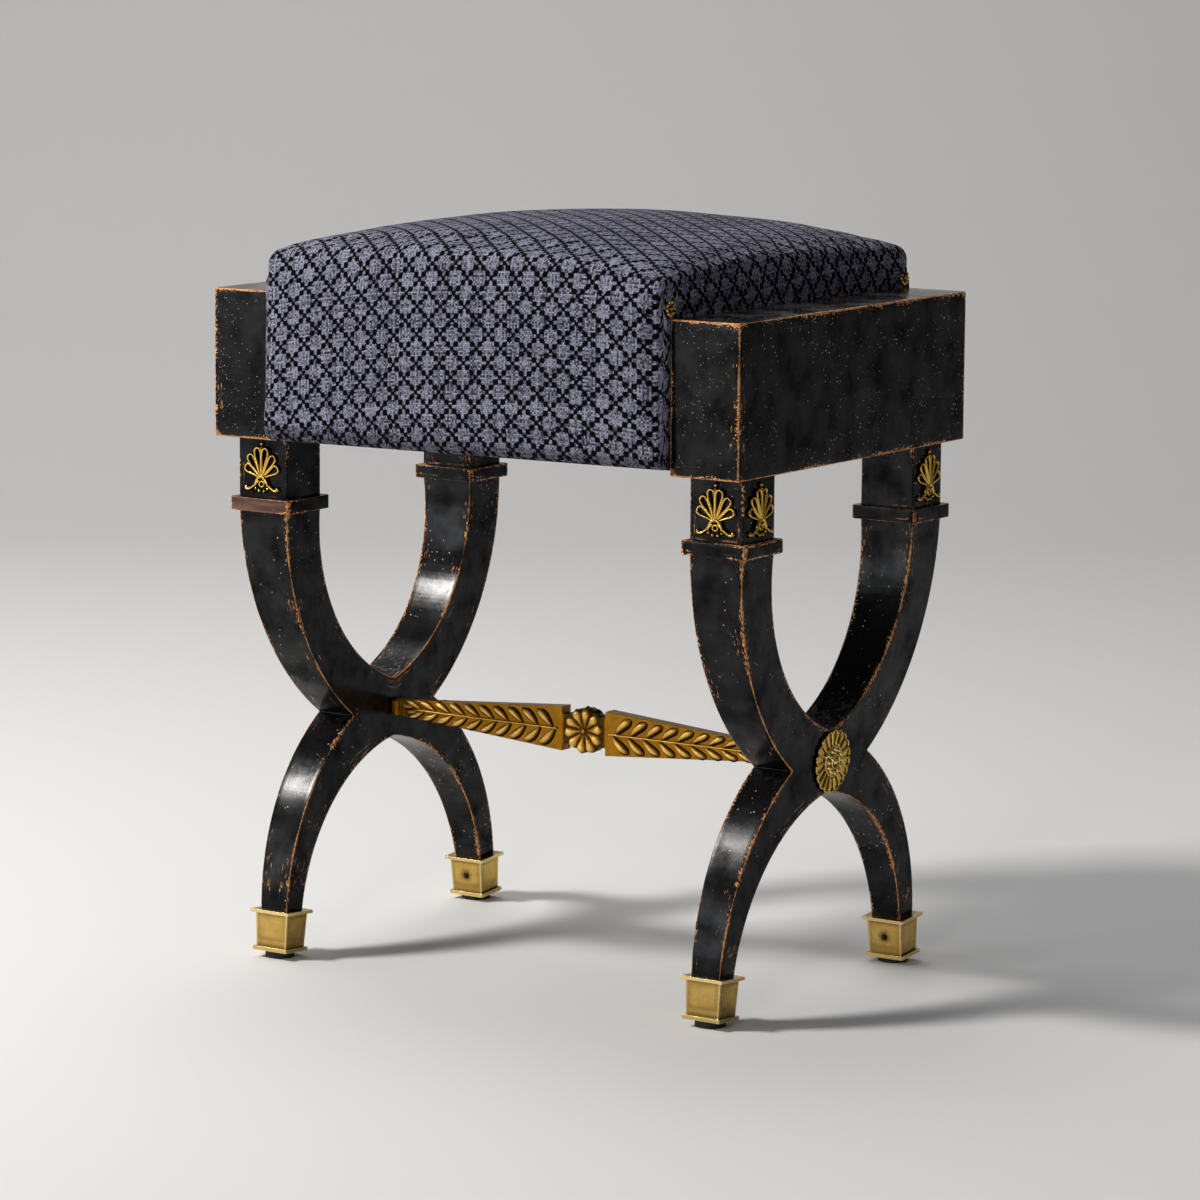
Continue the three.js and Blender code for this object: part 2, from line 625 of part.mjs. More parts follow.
// Seat's crowned form, set in from the cover's outside by an inset, down to a bottom level
function crownedBlock(inset, bottom) {
  const round = seatEdgeRound - inset;
  const topHalf = [seatHalfLength - inset, seatHalfDepth - seatFrontDrawIn - inset];
  const spread = (wallHalfDepth(bottom) - inset) / topHalf[1]; // from the top ring to the bottom
  const rows = topHalf.map((half) => {
    const edge = edgeRowShares.map((share) => half - share * round);
    const inner = half - round;
    const middle = Array.from({ length: crownSteps + 1 }, (_, i) => inner - (2 * inner * i) / crownSteps);
    return [...edge, ...middle, ...edge.map((value) => -value).reverse()].reverse();
  });
  const [countX, countY] = rows.map((row) => row.length);
  const vertices = [];
  for (const y of rows[1]) {
    for (const x of rows[0]) {
      const overX = Math.max(0, Math.abs(x) - topHalf[0] + round) / round;
      const overY = Math.max(0, Math.abs(y) - topHalf[1] + round) / round;
      const over = Math.max(overX, overY);
      const corner = overX && overY ? over / Math.hypot(overX, overY) : 1;
      const px = Math.sign(x) * (Math.abs(x) - overX * round * (1 - corner));
      const py = Math.sign(y) * (Math.abs(y) - overY * round * (1 - corner));
      const fallX = Math.abs(x / topHalf[0]) ** crownPower;
      const fallY = Math.abs(y / topHalf[1]) ** crownPower;
      const crown = seatFrontRise * (1 - fallX) + seatEndRise * (1 - fallY)
        + seatCentreRise * (1 - fallX) * (1 - fallY);
      const drop = round * (1 - Math.sqrt(Math.max(0, 1 - over ** 2)));
      vertices.push([px, py, seatCornerHeight - inset + crown - drop]);
    }
  }
  const at = (column, row) => row * countX + column;
  const triangles = [];
  for (let row = 0; row < countY - 1; row += 1) {
    for (let column = 0; column < countX - 1; column += 1) {
      const [a, b] = [at(column, row), at(column + 1, row)];
      const [c, d] = [at(column + 1, row + 1), at(column, row + 1)];
      triangles.push([a, b, c], [a, c, d]);
    }
  }
  const rim = [];
  for (let column = 0; column < countX - 1; column += 1) rim.push(at(column, 0));
  for (let row = 0; row < countY - 1; row += 1) rim.push(at(countX - 1, row));
  for (let column = countX - 1; column > 0; column -= 1) rim.push(at(column, countY - 1));
  for (let row = countY - 1; row > 0; row -= 1) rim.push(at(0, row));
  const below = rim.map((index) => {
    const [x, y] = vertices[index];
    return vertices.push([x, y * spread, bottom]) - 1;
  });
  const floorMiddle = vertices.push([0, 0, bottom]) - 1;
  rim.forEach((index, i) => {
    const next = (i + 1) % rim.length;
    triangles.push([index, below[i], below[next]], [index, below[next], rim[next]]);
    triangles.push([floorMiddle, below[next], below[i]]);
  });
  const geometry = new THREE.BufferGeometry();
  geometry.setAttribute('position', new THREE.Float32BufferAttribute(vertices.flat(), 3));
  geometry.setIndex(triangles.flat());
  geometry.computeVertexNormals();
  return geometry;
}

// Side frames. Each is drawn as the right one; the left one is the same frame turned half
// round, so its own front is the stool's back.
const nailHeight = endRailTop + jointGap + nailHeadRadius;
const nailY = seatHalfDepth - nailInset;

function nailWays() {
  return [-1, 1].flatMap((side) => [-1, 1].map((end) =>
    solidOf(barInward(nailShankRadius + jointGap, nailShankLength + cutOverrun, nailLobes, 0, 0, 0)
      .translate(seatHalfLength + cutOverrun - jointGap, end * nailY, nailHeight)
      .rotateZ(side < 0 ? Math.PI : 0))));
}

function endRailSolid() {
  const tenons = [-1, 1].flatMap((end) => [
    solidOf(headTenon(end, jointGap)),
    solidOf(seatRailTenon(end, jointGap)),
  ]);
  return cut(solidOf(boxBetween([endRailInnerX, -halfDepth, endRailBottom],
    [halfLength, halfDepth, endRailTop])), tenons);
}

function seatRailTenon(end, ease) {
  const low = end < 0 ? -seatRailInnerY - seatRailTenonThickness : seatRailInnerY;
  const top = endRailTop - seatRailTenonDrop;
  return boxBetween(
    [0, low - ease, top - seatRailTenonHeight - ease],
    [endRailInnerX + seatRailTenonLength + ease, low + seatRailTenonThickness + ease, top + ease],
  );
}

const memberGeometries = [-1, 1].map((end) => geometryOf(memberSolid(end)));
const shoeGeometries = [-1, 1].map(shoeGeometry);
const glideGeometries = [-1, 1].map(glideGeometry);
const endRail = geometryOf(endRailSolid());
const collar = collarGeometry();
const palmette = palmetteGeometry();
const rosette = rosetteGeometry();
const nail = nailGeometry();

for (const [sideName, turn] of [['right', 0], ['left', Math.PI]]) {
  const side = new THREE.Group();
  side.rotation.z = turn;
  stool.add(side);
  addMesh(`${sideName}_end_rail`, endRail, ebonisedWood, side);
  addMesh(`${sideName}_stretcher_screw`, geometryOf(screw()), steel, side);

  const rosetteSeat = new THREE.Group();
  rosetteSeat.position.set(crossingOuterX, 0, crossingHeight);
  rosetteSeat.rotation.y = Math.PI / 2 + outerFaceLean;
  side.add(rosetteSeat);
  const rosetteMesh = addMesh(`${sideName}_rosette`, rosette, mountBrass, rosetteSeat);
  rosetteMesh.rotation.z = Math.PI / 2;
  rosetteMesh.position.z = jointGap;

  [-1, 1].forEach((end, i) => {
    const endName = (turn === 0) === (end < 0) ? 'front' : 'back';
    const footName = endName === 'front' ? 'back' : 'front';
    const name = (piece) => `${sideName}_${endName}_${piece}`;
    addMesh(`${sideName}_x_member_${endName}_head_${footName}_foot`, memberGeometries[i],
      ebonisedWood, side);
    const ring = addMesh(name('collar'), collar, ebonisedWood, side);
    ring.position.set(headMiddleX, end * headMiddleY, collarBottom);

    const foot = footFrame(end);
    side.add(foot);
    addMesh(name('shoe'), shoeGeometries[i], shoeBrass, foot);
    addMesh(name('shoe_pin'), shoePin(end, 0), shoeBrass, foot);
    addMesh(name('glide'), glideGeometries[i], blackRubber, side);

    const palmetteFoot = collarTop + (headHeight - palmetteHeight) / 2;
    const faces = [
      ['end_palmette', headOuterX + jointGap, end * headMiddleY, Math.PI / 2],
      [`${endName}_palmette`, headMiddleX, end * (headOuterY + jointGap), end < 0 ? 0 : Math.PI],
    ];
    for (const [label, x, y, facing] of faces) {
      const face = new THREE.Group();
      face.position.set(x, y, palmetteFoot);
      face.rotation.z = facing;
      side.add(face);
      addMesh(`${sideName}_${endName}_head_${label}`, palmette, mountBrass, face)
        .rotation.x = Math.PI / 2;
    }

    const daisy = addMesh(name('daisy_nail'), nail, mountBrass, side);
    daisy.position.set(seatHalfLength + jointGap, end * nailY, nailHeight);
    daisy.rotation.y = Math.PI / 2;
  });
}

// Stretcher: a double taper with a block in the middle, bosses and tenons at its ends
function stretcherSolid() {
  const flower = (facing) => plate(lobedOutline(flowerRadius, flowerLobes, flowerLobeDepth),
    flowerProud + stretcherGroove)
    .translate(0, 0, stretcherMiddleDepth / 2 - stretcherGroove)
    .rotateX(facing * (Math.PI / 2)).translate(0, 0, crossingHeight);
  const blockHalf = stretcherBlockLength / 2;
  const waistHalf = blockHalf + stretcherGroove;
  const bossOuter = crossingInnerX - jointGap;
  const bossInner = bossOuter - stretcherBossLength;
  const taperLength = bossInner - waistHalf;
  const boss = stretcherBossSize / 2;
  const across = (halfX, halfY, halfZ) => boxBetween([-halfX, -halfY, crossingHeight - halfZ],
    [halfX, halfY, crossingHeight + halfZ]);
  const half = (turn) => [
    taperedBlock(stretcherMiddleHeight, stretcherMiddleDepth, stretcherEndHeight, stretcherEndDepth,
      taperLength).rotateY(-Math.PI / 2).translate(waistHalf, 0, crossingHeight),
    boxBetween([bossInner, -boss, crossingHeight - boss], [bossOuter, boss, crossingHeight + boss]),
    stretcherTenon(0),
  ].map((geometry) => solidOf(geometry.rotateZ(turn)));
  const [middleHalfY, middleHalfZ] = [stretcherMiddleDepth / 2, stretcherMiddleHeight / 2];
  const whole = joined([
    solidOf(across(blockHalf, middleHalfY, middleHalfZ)),
    solidOf(across(waistHalf + stretcherGroove, middleHalfY - stretcherGroove,
      middleHalfZ - stretcherGroove)),
    ...half(0),
    ...half(Math.PI),
    solidOf(flower(1)),
    solidOf(flower(-1)),
  ]);
  const ways = [0, 180].map((degrees) => screw(jointGap).rotate([0, 0, degrees]));
  return cut(whole, ways);
}
addMesh('stretcher', geometryOf(stretcherSolid()), gilding);

// Seat frame: front and back rails tenoned into the end rails, and battens between them
const seatInside = solidOf(crownedBlock(frameInset, seatRailBottom));
const ways = nailWays();
[-1, 1].forEach((end) => {
  const near = end * seatRailInnerY;
  const far = end * seatHalfDepth;
  const board = boxBetween(
    [-seatHalfLength, Math.min(near, far), seatRailBottom],
    [seatHalfLength, Math.max(near, far), seatRailTop],
  );
  const shoulder = boxBetween(
    [-seatHalfLength, Math.min(near, end * halfDepth), seatRailBottom],
    [seatHalfLength, Math.max(near, end * halfDepth), endRailTop],
  );
  const tenons = [0, Math.PI].map((turn) =>
    solidOf(seatRailTenon(turn === 0 ? end : -end, 0).rotateZ(turn)));
  const rail = joined([solidOf(board).intersect(seatInside), solidOf(shoulder), ...tenons]);
  addMesh(`${end < 0 ? 'front' : 'back'}_seat_rail`, geometryOf(cut(rail, ways)), plainWood);
});

const battenHalfY = seatRailInnerY - jointGap;
const batten = geometryOf(joined([
  solidOf(boxBetween([battenInnerX, -battenHalfY, seatRailTop - battenHeight],
    [seatHalfLength, battenHalfY, endRailTop])),
  solidOf(boxBetween([battenInnerX, -battenHalfY, seatRailTop - battenHeight],
    [seatHalfLength - frameInset, battenHalfY, seatRailTop])),
]));
for (const [sideName, turn] of [['right', 0], ['left', Math.PI]]) {
  addMesh(`${sideName}_seat_batten`, batten, plainWood).rotation.z = turn;
  for (const end of [-1, 1]) {
    const endName = (turn === 0) === (end < 0) ? 'front' : 'back';
    const cornerX = battenInnerX - jointGap;
    const cornerY = end * battenHalfY;
    const outline = [
      new THREE.Vector2(cornerX, cornerY),
      new THREE.Vector2(cornerX - blockLeg, cornerY),
      new THREE.Vector2(cornerX, cornerY - end * blockLeg),
    ];
    const block = plate(outline, blockHeight)
      .translate(0, 0, seatRailTop - blockDrop - blockHeight);
    addMesh(`${sideName}_${endName}_corner_block`, block, plainWood).rotation.z = turn;
  }
}

// Webbing over the frame, the cloth over it, the stuffing, the cover and the dust cover
const webHalfX = seatHalfLength - frameInset - jointGap;
const webHalfY = seatHalfDepth - seatFrontDrawIn - frameInset - jointGap;
const spreadAt = (index, count, half) =>
  count > 1 ? -half + (2 * half * index) / (count - 1) : 0;
for (let i = 0; i < lengthwiseStraps; i += 1) {
  const y = spreadAt(i, lengthwiseStraps, seatRailInnerY - strapWidth / 2);
  addMesh(`lengthwise_strap_${i + 1}`, boxBetween([-webHalfX, y - strapWidth / 2, strapLevel],
    [webHalfX, y + strapWidth / 2, strapLevel + strapThickness]), webbing);
}
for (let i = 0; i < crosswiseStraps; i += 1) {
  const x = spreadAt(i, crosswiseStraps, battenInnerX - strapWidth / 2);
  addMesh(`crosswise_strap_${i + 1}`, boxBetween([x - strapWidth / 2, -webHalfY, crossStrapLevel],
    [x + strapWidth / 2, webHalfY, crossStrapLevel + strapThickness]), webbing);
}
const roomInside = solidOf(crownedBlock(frameInset, baseClothLevel - cutOverrun));
const layer = (halfX, halfY, bottom, thickness) =>
  boxBetween([-halfX, -halfY, bottom], [halfX, halfY, bottom + thickness]);
addMesh('base_cloth', geometryOf(solidOf(layer(webHalfX, webHalfY, baseClothLevel,
  baseClothThickness)).intersect(roomInside)), hessian);
addMesh('seat_pad', crownedBlock(frameInset, padLevel), stuffing);
addMesh('dust_cover', layer(seatHalfLength - dustCoverInset, webHalfY - dustCoverInset,
  seatRailBottom - jointGap - dustCoverThickness, dustCoverThickness), blackCloth);

// The cover's ends stop above the end rails; its front and back run down over the seat rails
const endSlot = boxBetween(
  [seatHalfLength - coverThickness - cutOverrun, seatEdgeRound - seatHalfDepth, seatBottom - cutOverrun],
  [seatHalfLength + cutOverrun, seatHalfDepth - seatEdgeRound, endRailTop + jointGap],
);
addMesh('seat_cover', geometryOf(cut(solidOf(crownedBlock(0, seatBottom)), [
  solidOf(crownedBlock(coverThickness, seatBottom - cutOverrun)),
  solidOf(endSlot.clone()),
  solidOf(endSlot.clone().rotateZ(Math.PI)),
  ...ways,
])), trellisCloth);

export default stool;
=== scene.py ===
import math

import bmesh
import bpy
import numpy as np
from mathutils import Matrix, Vector, noise


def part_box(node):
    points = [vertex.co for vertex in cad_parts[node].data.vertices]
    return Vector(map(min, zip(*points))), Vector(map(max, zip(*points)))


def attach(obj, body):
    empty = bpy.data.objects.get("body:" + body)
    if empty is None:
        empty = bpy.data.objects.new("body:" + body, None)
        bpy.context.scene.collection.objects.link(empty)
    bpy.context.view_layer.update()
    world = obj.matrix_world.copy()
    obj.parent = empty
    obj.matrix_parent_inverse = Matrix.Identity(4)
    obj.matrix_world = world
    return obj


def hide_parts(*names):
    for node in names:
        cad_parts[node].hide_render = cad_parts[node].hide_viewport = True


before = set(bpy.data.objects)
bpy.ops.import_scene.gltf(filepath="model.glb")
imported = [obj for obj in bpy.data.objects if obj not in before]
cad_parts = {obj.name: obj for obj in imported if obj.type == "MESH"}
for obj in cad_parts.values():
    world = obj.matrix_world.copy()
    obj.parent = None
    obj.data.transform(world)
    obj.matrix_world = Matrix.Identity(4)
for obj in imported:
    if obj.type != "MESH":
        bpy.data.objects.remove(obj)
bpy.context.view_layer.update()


# Camera. It stands a little over three metres off, to the right of the seat's front and
# slightly above it, with a long lens, as the perspective of the photograph works out.
scene = bpy.context.scene
MM = 0.001
camera_yaw = math.radians(33.69)
camera_pitch = math.radians(8.75)
camera_roll = math.radians(0.38)
camera_distance = 3292.04 * MM
camera_aim_height = 243.22 * MM
camera_aim_across = 7.52 * MM
sensor_width = 36
lens_length = 148.70

toward_camera = Vector((
    math.sin(camera_yaw) * math.cos(camera_pitch),
    -math.cos(camera_yaw) * math.cos(camera_pitch),
    math.sin(camera_pitch),
))
level_right = (-toward_camera).cross(Vector((0, 0, 1))).normalized()
level_up = level_right.cross(-toward_camera)
camera_right = level_right * math.cos(camera_roll) + level_up * math.sin(camera_roll)
camera_up = level_up * math.cos(camera_roll) - level_right * math.sin(camera_roll)
camera_aim = Vector((0, 0, camera_aim_height)) + level_right * camera_aim_across

camera_data = bpy.data.cameras.new("camera")
camera_data.sensor_width = sensor_width
camera_data.lens = lens_length
camera_data.clip_end = 50
camera = bpy.data.objects.new("camera", camera_data)
scene.collection.objects.link(camera)
camera.matrix_world = (
    Matrix.Translation(camera_aim + toward_camera * camera_distance)
    @ Matrix((camera_right, camera_up, toward_camera)).transposed().to_4x4()
)
scene.camera = camera


# Side frames. Two S-curved members of ebonised beech are half-lapped into an X, with square
# heads at the top. They are sawn from plank, rasped to shape and their arrises eased.
crossing_height = 155.4 * MM
notch_reach = 46.8 * MM
crossing_rise = 19.6 * MM
crossing_drop = 20.4 * MM
arm_outer_bow = 20.7 * MM
arm_inner_bow = 27 * MM
leg_outer_bow = 17.4 * MM
leg_inner_bow = 23.8 * MM
arc_steps = 60
frame_arris = 0.9 * MM
frame_spacing = 5 * MM
sharp_turn, flat_turn = math.radians(28), math.radians(1)
weld_distance = 0.02 * MM
foot_tuck = 6 * MM  # how far the foot runs down inside its shoe, and the arm into its head
head_start = 1 * MM  # of the square head, over the bottom of the collar
clearance = 0.3 * MM  # between two pieces, as the solids have it
sheltered_head = 0.6  # mm of wear that the arrises over the collars were spared
sides = (("right", 0), ("left", math.pi))

rail_low, rail_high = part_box("right_end_rail")
collar_low, collar_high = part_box("right_front_collar")
member_low, member_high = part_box("right_x_member_front_head_back_foot")
head_outer_x, head_inner_x = member_high.x, member_low.x
head_outer_y = -member_low.y
collar_projection = (collar_high.x - collar_low.x - (head_outer_x - head_inner_x)) / 2
head_inner_y = -(collar_high.y - collar_projection)
collar_bottom = collar_low.z
foot_top = 32.2 * MM
foot_outer_x = 182.1 * MM
foot_inner_x = 160.4 * MM
foot_middle_y = 112 * MM
foot_depth = 17.8 * MM
foot_tilt = math.radians(4.3)


def arc(start, end, bow, steps=arc_steps):
    """Points from start to end on an arc that stands off the chord to its left by bow."""
    start, end = Vector(start), Vector(end)
    chord = end - start
    radius = (chord.length_squared / 4 + bow * bow) / (2 * abs(bow))
    left = Vector((-chord.y, chord.x)).normalized()
    centre = (start + end) / 2 + left * (bow - math.copysign(radius, bow))
    spoke = start - centre
    sweep = math.copysign(2 * math.asin(chord.length / 2 / radius), -bow)
    return [centre + Matrix.Rotation(sweep * i / steps, 2) @ spoke for i in range(steps + 1)]


def frame_outline():
    """Outline of a side frame in Y and Z, from inside the collars to inside the shoes."""
    lean = Vector((math.sin(foot_tilt), -math.cos(foot_tilt)))
    across = Vector((math.cos(foot_tilt), math.sin(foot_tilt))) * foot_depth / 2
    foot = Vector((foot_middle_y, foot_top))
    half = [
        *arc((0, crossing_height - crossing_drop), foot - across, leg_inner_bow),
        foot - across + lean * foot_tuck,
        foot + across + lean * foot_tuck,
        *arc(foot + across, (notch_reach, crossing_height), -leg_outer_bow),
        *arc((notch_reach, crossing_height), (head_outer_y, collar_bottom), -arm_outer_bow)[1:],
        Vector((head_outer_y, collar_bottom + foot_tuck)),
        Vector((head_inner_y, collar_bottom + foot_tuck)),
        *arc((head_inner_y, collar_bottom), (0, crossing_height + crossing_rise), arm_inner_bow),
    ]
    other_half = [Vector((-point.x, point.y)) for point in reversed(half[1:-1])]
    return half + other_half


def face_x(top, foot):
    """X of a face that leans in a straight line from the collars to the feet."""
    return lambda z: foot + (top - foot) * (z - foot_top) / (collar_bottom - foot_top)


def noted(mesh, name):
    """The layer in which each point of a mesh keeps a number under a name."""
    layers = mesh.verts.layers.float
    return layers.get(name) or layers.new(name)


def add_box(mesh, low, high):
    """Adds a box between two corners to a mesh."""
    low, high = Vector(low), Vector(high)
    place = Matrix.Translation((low + high) / 2) @ Matrix.Diagonal((*(high - low), 1))
    bmesh.ops.create_cube(mesh, size=1, matrix=place)


def cut_mesh(mesh, place, axis):
    """Cuts the faces that a plane meets, which goes through a place and across an axis."""
    bmesh.ops.bisect_plane(mesh, geom=mesh.verts[:] + mesh.edges[:] + mesh.faces[:],
                           dist=weld_distance, plane_co=place, plane_no=np.eye(3)[axis])


def ease_arrises(mesh, radius, spacing):
    """Rounds each sharp edge, and cuts the faces up at a spacing, so that each point can note
    how many mm off the nearest outer edge is."""
    sharp = [e for e in mesh.edges if e.is_manifold and e.calc_face_angle() > sharp_turn]
    standing = [e for e in sharp if e.calc_face_angle_signed() > 0]
    starts = np.array([e.verts[0].co for e in standing])
    spans = np.array([e.verts[1].co for e in standing]) - starts
    bmesh.ops.bevel(mesh, geom=sharp, offset=radius, segments=2, profile=0.5,
                    affect="EDGES", clamp_overlap=True)
    places = np.array([vert.co for vert in mesh.verts])
    low, high = places.min(axis=0), places.max(axis=0)
    for axis in range(3):
        cuts = int((high[axis] - low[axis]) / spacing)
        for i in range(cuts):
            cut_mesh(mesh, low + (high - low) * (i + 1) / (cuts + 1), axis)
    places = np.array([vert.co for vert in mesh.verts])
    nearest = np.full(len(places), np.inf)
    for start, span in zip(starts, spans):
        share = np.clip((places - start) @ span / (span @ span), 0, 1)
        nearest = np.minimum(nearest, np.linalg.norm(places - start - np.outer(share, span), axis=1))
    layer = noted(mesh, "arris")
    for vert, distance in zip(mesh.verts, nearest):
        vert[layer] = distance / MM
    for face in mesh.faces:
        face.smooth = True


def new_object(name, mesh):
    """Makes an object of a mesh."""
    data = bpy.data.meshes.new(name)
    mesh.to_mesh(data)
    mesh.free()
    made = bpy.data.objects.new(name, data)
    scene.collection.objects.link(made)
    return made


def add_piece(name, mesh, material, replaced=(), turn=0):
    """Makes an object of a mesh, turned about the upright axis, and gives it to the frame."""
    if turn:
        bmesh.ops.rotate(mesh, verts=mesh.verts, cent=(0, 0, 0), matrix=Matrix.Rotation(turn, 3, "Z"))
    piece = new_object(name, mesh)
    piece.data.materials.append(material)
    piece.modifiers.new("flat_faces_stay_flat", "WEIGHTED_NORMAL").keep_sharp = True
    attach(piece, "root")
    if replaced:
        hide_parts(*replaced)


def cad_form(name):
    """A CAD node's mesh with its flat faces whole again."""
    mesh = bmesh.new()
    mesh.from_mesh(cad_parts[name].data)
    bmesh.ops.remove_doubles(mesh, verts=mesh.verts, dist=weld_distance)
    bmesh.ops.dissolve_limit(mesh, angle_limit=flat_turn, verts=mesh.verts, edges=mesh.edges)
    return mesh


def linear(code):
    """A colour of the shader, from its sRGB code."""
    values = [int(code[i:i + 2], 16) / 255 for i in (1, 3, 5)]
    return [v / 12.92 if v <= 0.04045 else ((v + 0.055) / 1.055) ** 2.4 for v in values] + [1]


def add_node(tree, kind, inputs=(), out=0, **settings):
    """Adds a node and gives one of its outputs. Its inputs, by name or in their order, each
    take a value or the output that is linked to it."""
    made = tree.nodes.new("ShaderNode" + kind)
    for name, value in settings.items():
        setattr(made, name, value)
    for name, value in inputs.items() if isinstance(inputs, dict) else enumerate(inputs):
        if isinstance(value, bpy.types.NodeSocket):
            tree.links.new(value, made.inputs[name])
        else:
            made.inputs[name].default_value = value
    return made.outputs[out] if made.outputs else None


def new_material(name):
    """An empty material and its tree."""
    material = bpy.data.materials.new(name)
    material.use_nodes = True
    material.node_tree.nodes.clear()
    return material, material.node_tree


def per_mm(size):
    """Scale of a texture whose grain is a size in millimetres."""
    return 1 / (size * MM)


# Ebonised beech: close-grained wood stained black with iron and logwood, then rubbed with
# shellac. It gives a deep black with a soft sheen, a faint grain, brown wood where hands
# have worn through the arrises, and pale nicks where the film is chipped.
def ebonised_beech(name, grain_stretch, worn_share, nick_rarity):
    """The wood of a piece whose grain runs along its least stretched axis."""
    material, tree = new_material(name)
    place = add_node(tree, "TexCoord", out="Object")
    along = add_node(tree, "Mapping", {"Vector": place, "Scale": grain_stretch})
    rub_way = add_node(tree, "Mapping", {"Vector": place, "Scale": [s ** 0.4 for s in grain_stretch]})

    # Noises, each with the size of its grain in mm, its detail and its roughness. The wood's
    # pores are a tenth of a millimetre wide, and its grain is drawn coarser, to show.
    grain, cloud, polish, ragged, worn_here, specks, rubbed_here, knocked_here, nicked_here, streaky = [
        add_node(tree, "TexNoise", {"Vector": vector, "Scale": per_mm(size), "Detail": detail,
                                    "Roughness": roughness}, out="Fac")
        for vector, size, detail, roughness in (
            (along, 2.0, 4, 0.5), (place, 55, 5, 0.6), (place, 20, 5, 0.6), (place, 1.8, 5, 0.7),
            (place, 24, 2, 0.5), (rub_way, 0.9, 3, 0.6), (place, 33, 2, 0.5), (place, 38, 2, 0.5),
            (place, 32, 3, 0.5), (along, 3.4, 4, 0.6))]
    arris = add_node(tree, "Attribute", out="Fac", attribute_name="arris")

    # The arris is rubbed through in a thin ragged line, here and there a little wider
    reach = add_node(tree, "MapRange", [worn_here, 0.38, 0.66, 0.65 * worn_share, 1.25 * worn_share])
    reach = add_node(tree, "Math", [ragged, 0.6, reach], operation="MULTIPLY_ADD")
    inside = add_node(tree, "Math", [reach, arris], operation="SUBTRACT")
    worn = add_node(tree, "MapRange", [inside, 0.3, 0.6])

    # Beside it the film is rubbed to specks, thick in some places and all but none in others
    near = add_node(tree, "MapRange", [arris, 5.0 * worn_share, 0.8])
    thick = add_node(tree, "MapRange", [rubbed_here, 0.42, 0.55])
    often = add_node(tree, "Math", [near, thick], operation="MULTIPLY")
    room = add_node(tree, "Math", [often, 0.27, specks], operation="MULTIPLY_ADD")
    rubbed = add_node(tree, "MapRange", [room, 0.765, 0.80])

    # Further in, knocks have left broken brown streaks that run beside the arris
    height = add_node(tree, "SeparateXYZ", [place], out="Z")
    off_arris = add_node(tree, "Math", [arris, 0.8], operation="MULTIPLY")
    up_arris = add_node(tree, "Math", [height, per_mm(9)], operation="MULTIPLY")
    beside = add_node(tree, "CombineXYZ", [off_arris, up_arris])
    streak = add_node(tree, "TexNoise", {"Vector": beside, "Scale": 1, "Detail": 4,
                                         "Roughness": 0.65}, out="Fac")
    band = add_node(tree, "MapRange", [arris, 11, 7])
    knocked = add_node(tree, "MapRange", [knocked_here, 0.48, 0.6])
    in_band = add_node(tree, "Math", [band, knocked], operation="MULTIPLY")
    struck = add_node(tree, "Math", [in_band, 0.14, streak], operation="MULTIPLY_ADD")
    streaks = add_node(tree, "MapRange", [struck, 0.73, 0.78])
    bare = add_node(tree, "Math", [worn, rubbed], operation="MAXIMUM")
    bare = add_node(tree, "Math", [bare, streaks], operation="MAXIMUM")

    # Nicks: pale flecks under a millimetre across, in clusters
    cell_colour = add_node(tree, "TexVoronoi", {"Vector": place, "Scale": per_mm(2.1)}, out="Color")
    cell_distance = cell_colour.node.outputs["Distance"]
    cell_value = add_node(tree, "SeparateColor", [cell_colour], out="Red")
    cell_size = cell_value.node.outputs["Green"]
    edge = add_node(tree, "Math", [specks, 0.5, cell_distance], operation="MULTIPLY_ADD")
    edge = add_node(tree, "Math", [cell_size, -0.24, edge], operation="MULTIPLY_ADD")
    fleck = add_node(tree, "MapRange", [edge, 0.31, 0.25])
    nicked = add_node(tree, "MapRange", [nicked_here, 0.38, 0.54])
    chance = add_node(tree, "Math", [cell_value, nicked], operation="MULTIPLY")
    chosen = add_node(tree, "Math", [chance, nick_rarity], operation="GREATER_THAN")
    nick = add_node(tree, "Math", [fleck, chosen], operation="MULTIPLY")

    # One collar's film is rubbed thin all over. What faces up is painted with a grey reflection in streaks
    # along the grain, which also stands for scuffs.
    thin = add_node(tree, "Attribute", out="Fac", attribute_name="thin_film")
    uneven = add_node(tree, "MapRange", [streaky, 0.38, 0.62, 0.45, 1.0])
    veil = add_node(tree, "Math", [thin, uneven], operation="MULTIPLY")
    normal = add_node(tree, "TexCoord", out="Normal")
    facing = add_node(tree, "SeparateXYZ", [normal], out="Z")
    level = add_node(tree, "MapRange", [facing, 0.8, 0.98, 0, 0.6])
    top_streaks = add_node(tree, "MapRange", [streaky, 0.46, 0.66])
    scuff_and_reflection = add_node(tree, "Math", [level, top_streaks], operation="MULTIPLY")
    faint = add_node(tree, "Math", [grain, 0.5], operation="MULTIPLY")
    deep = add_node(tree, "MapRange", [specks, 0.36, 0.60])
    brown = add_node(tree, "Mix", {"Factor": deep, "A": linear("#7a431c"), "B": linear("#f3ae70")},
                     out="Result", data_type="RGBA")
    colour = linear("#050507")
    for factor, other in ((cloud, linear("#0e0d0f")), (faint, linear("#181617")), (veil, linear("#6f5243")),
                          (scuff_and_reflection, linear("#6b6763")), (bare, brown), (nick, linear("#aca69e"))):
        colour = add_node(tree, "Mix", {"Factor": factor, "A": colour, "B": other},
                          out="Result", data_type="RGBA")
    sheen = add_node(tree, "MapRange", [cloud, 0.3, 0.7, 0.15, 0.28])
    dry = add_node(tree, "Mix", {"Factor": bare, "A": sheen, "B": 0.6}, out="Result", data_type="FLOAT")
    gloss = add_node(tree, "MapRange", [polish, 0.34, 0.68, 0.04, 0.26])
    relief = add_node(tree, "Math", [faint, bare], operation="SUBTRACT")
    bump = add_node(tree, "Bump", {"Height": relief, "Strength": 0.3, "Distance": 0.15 * MM})
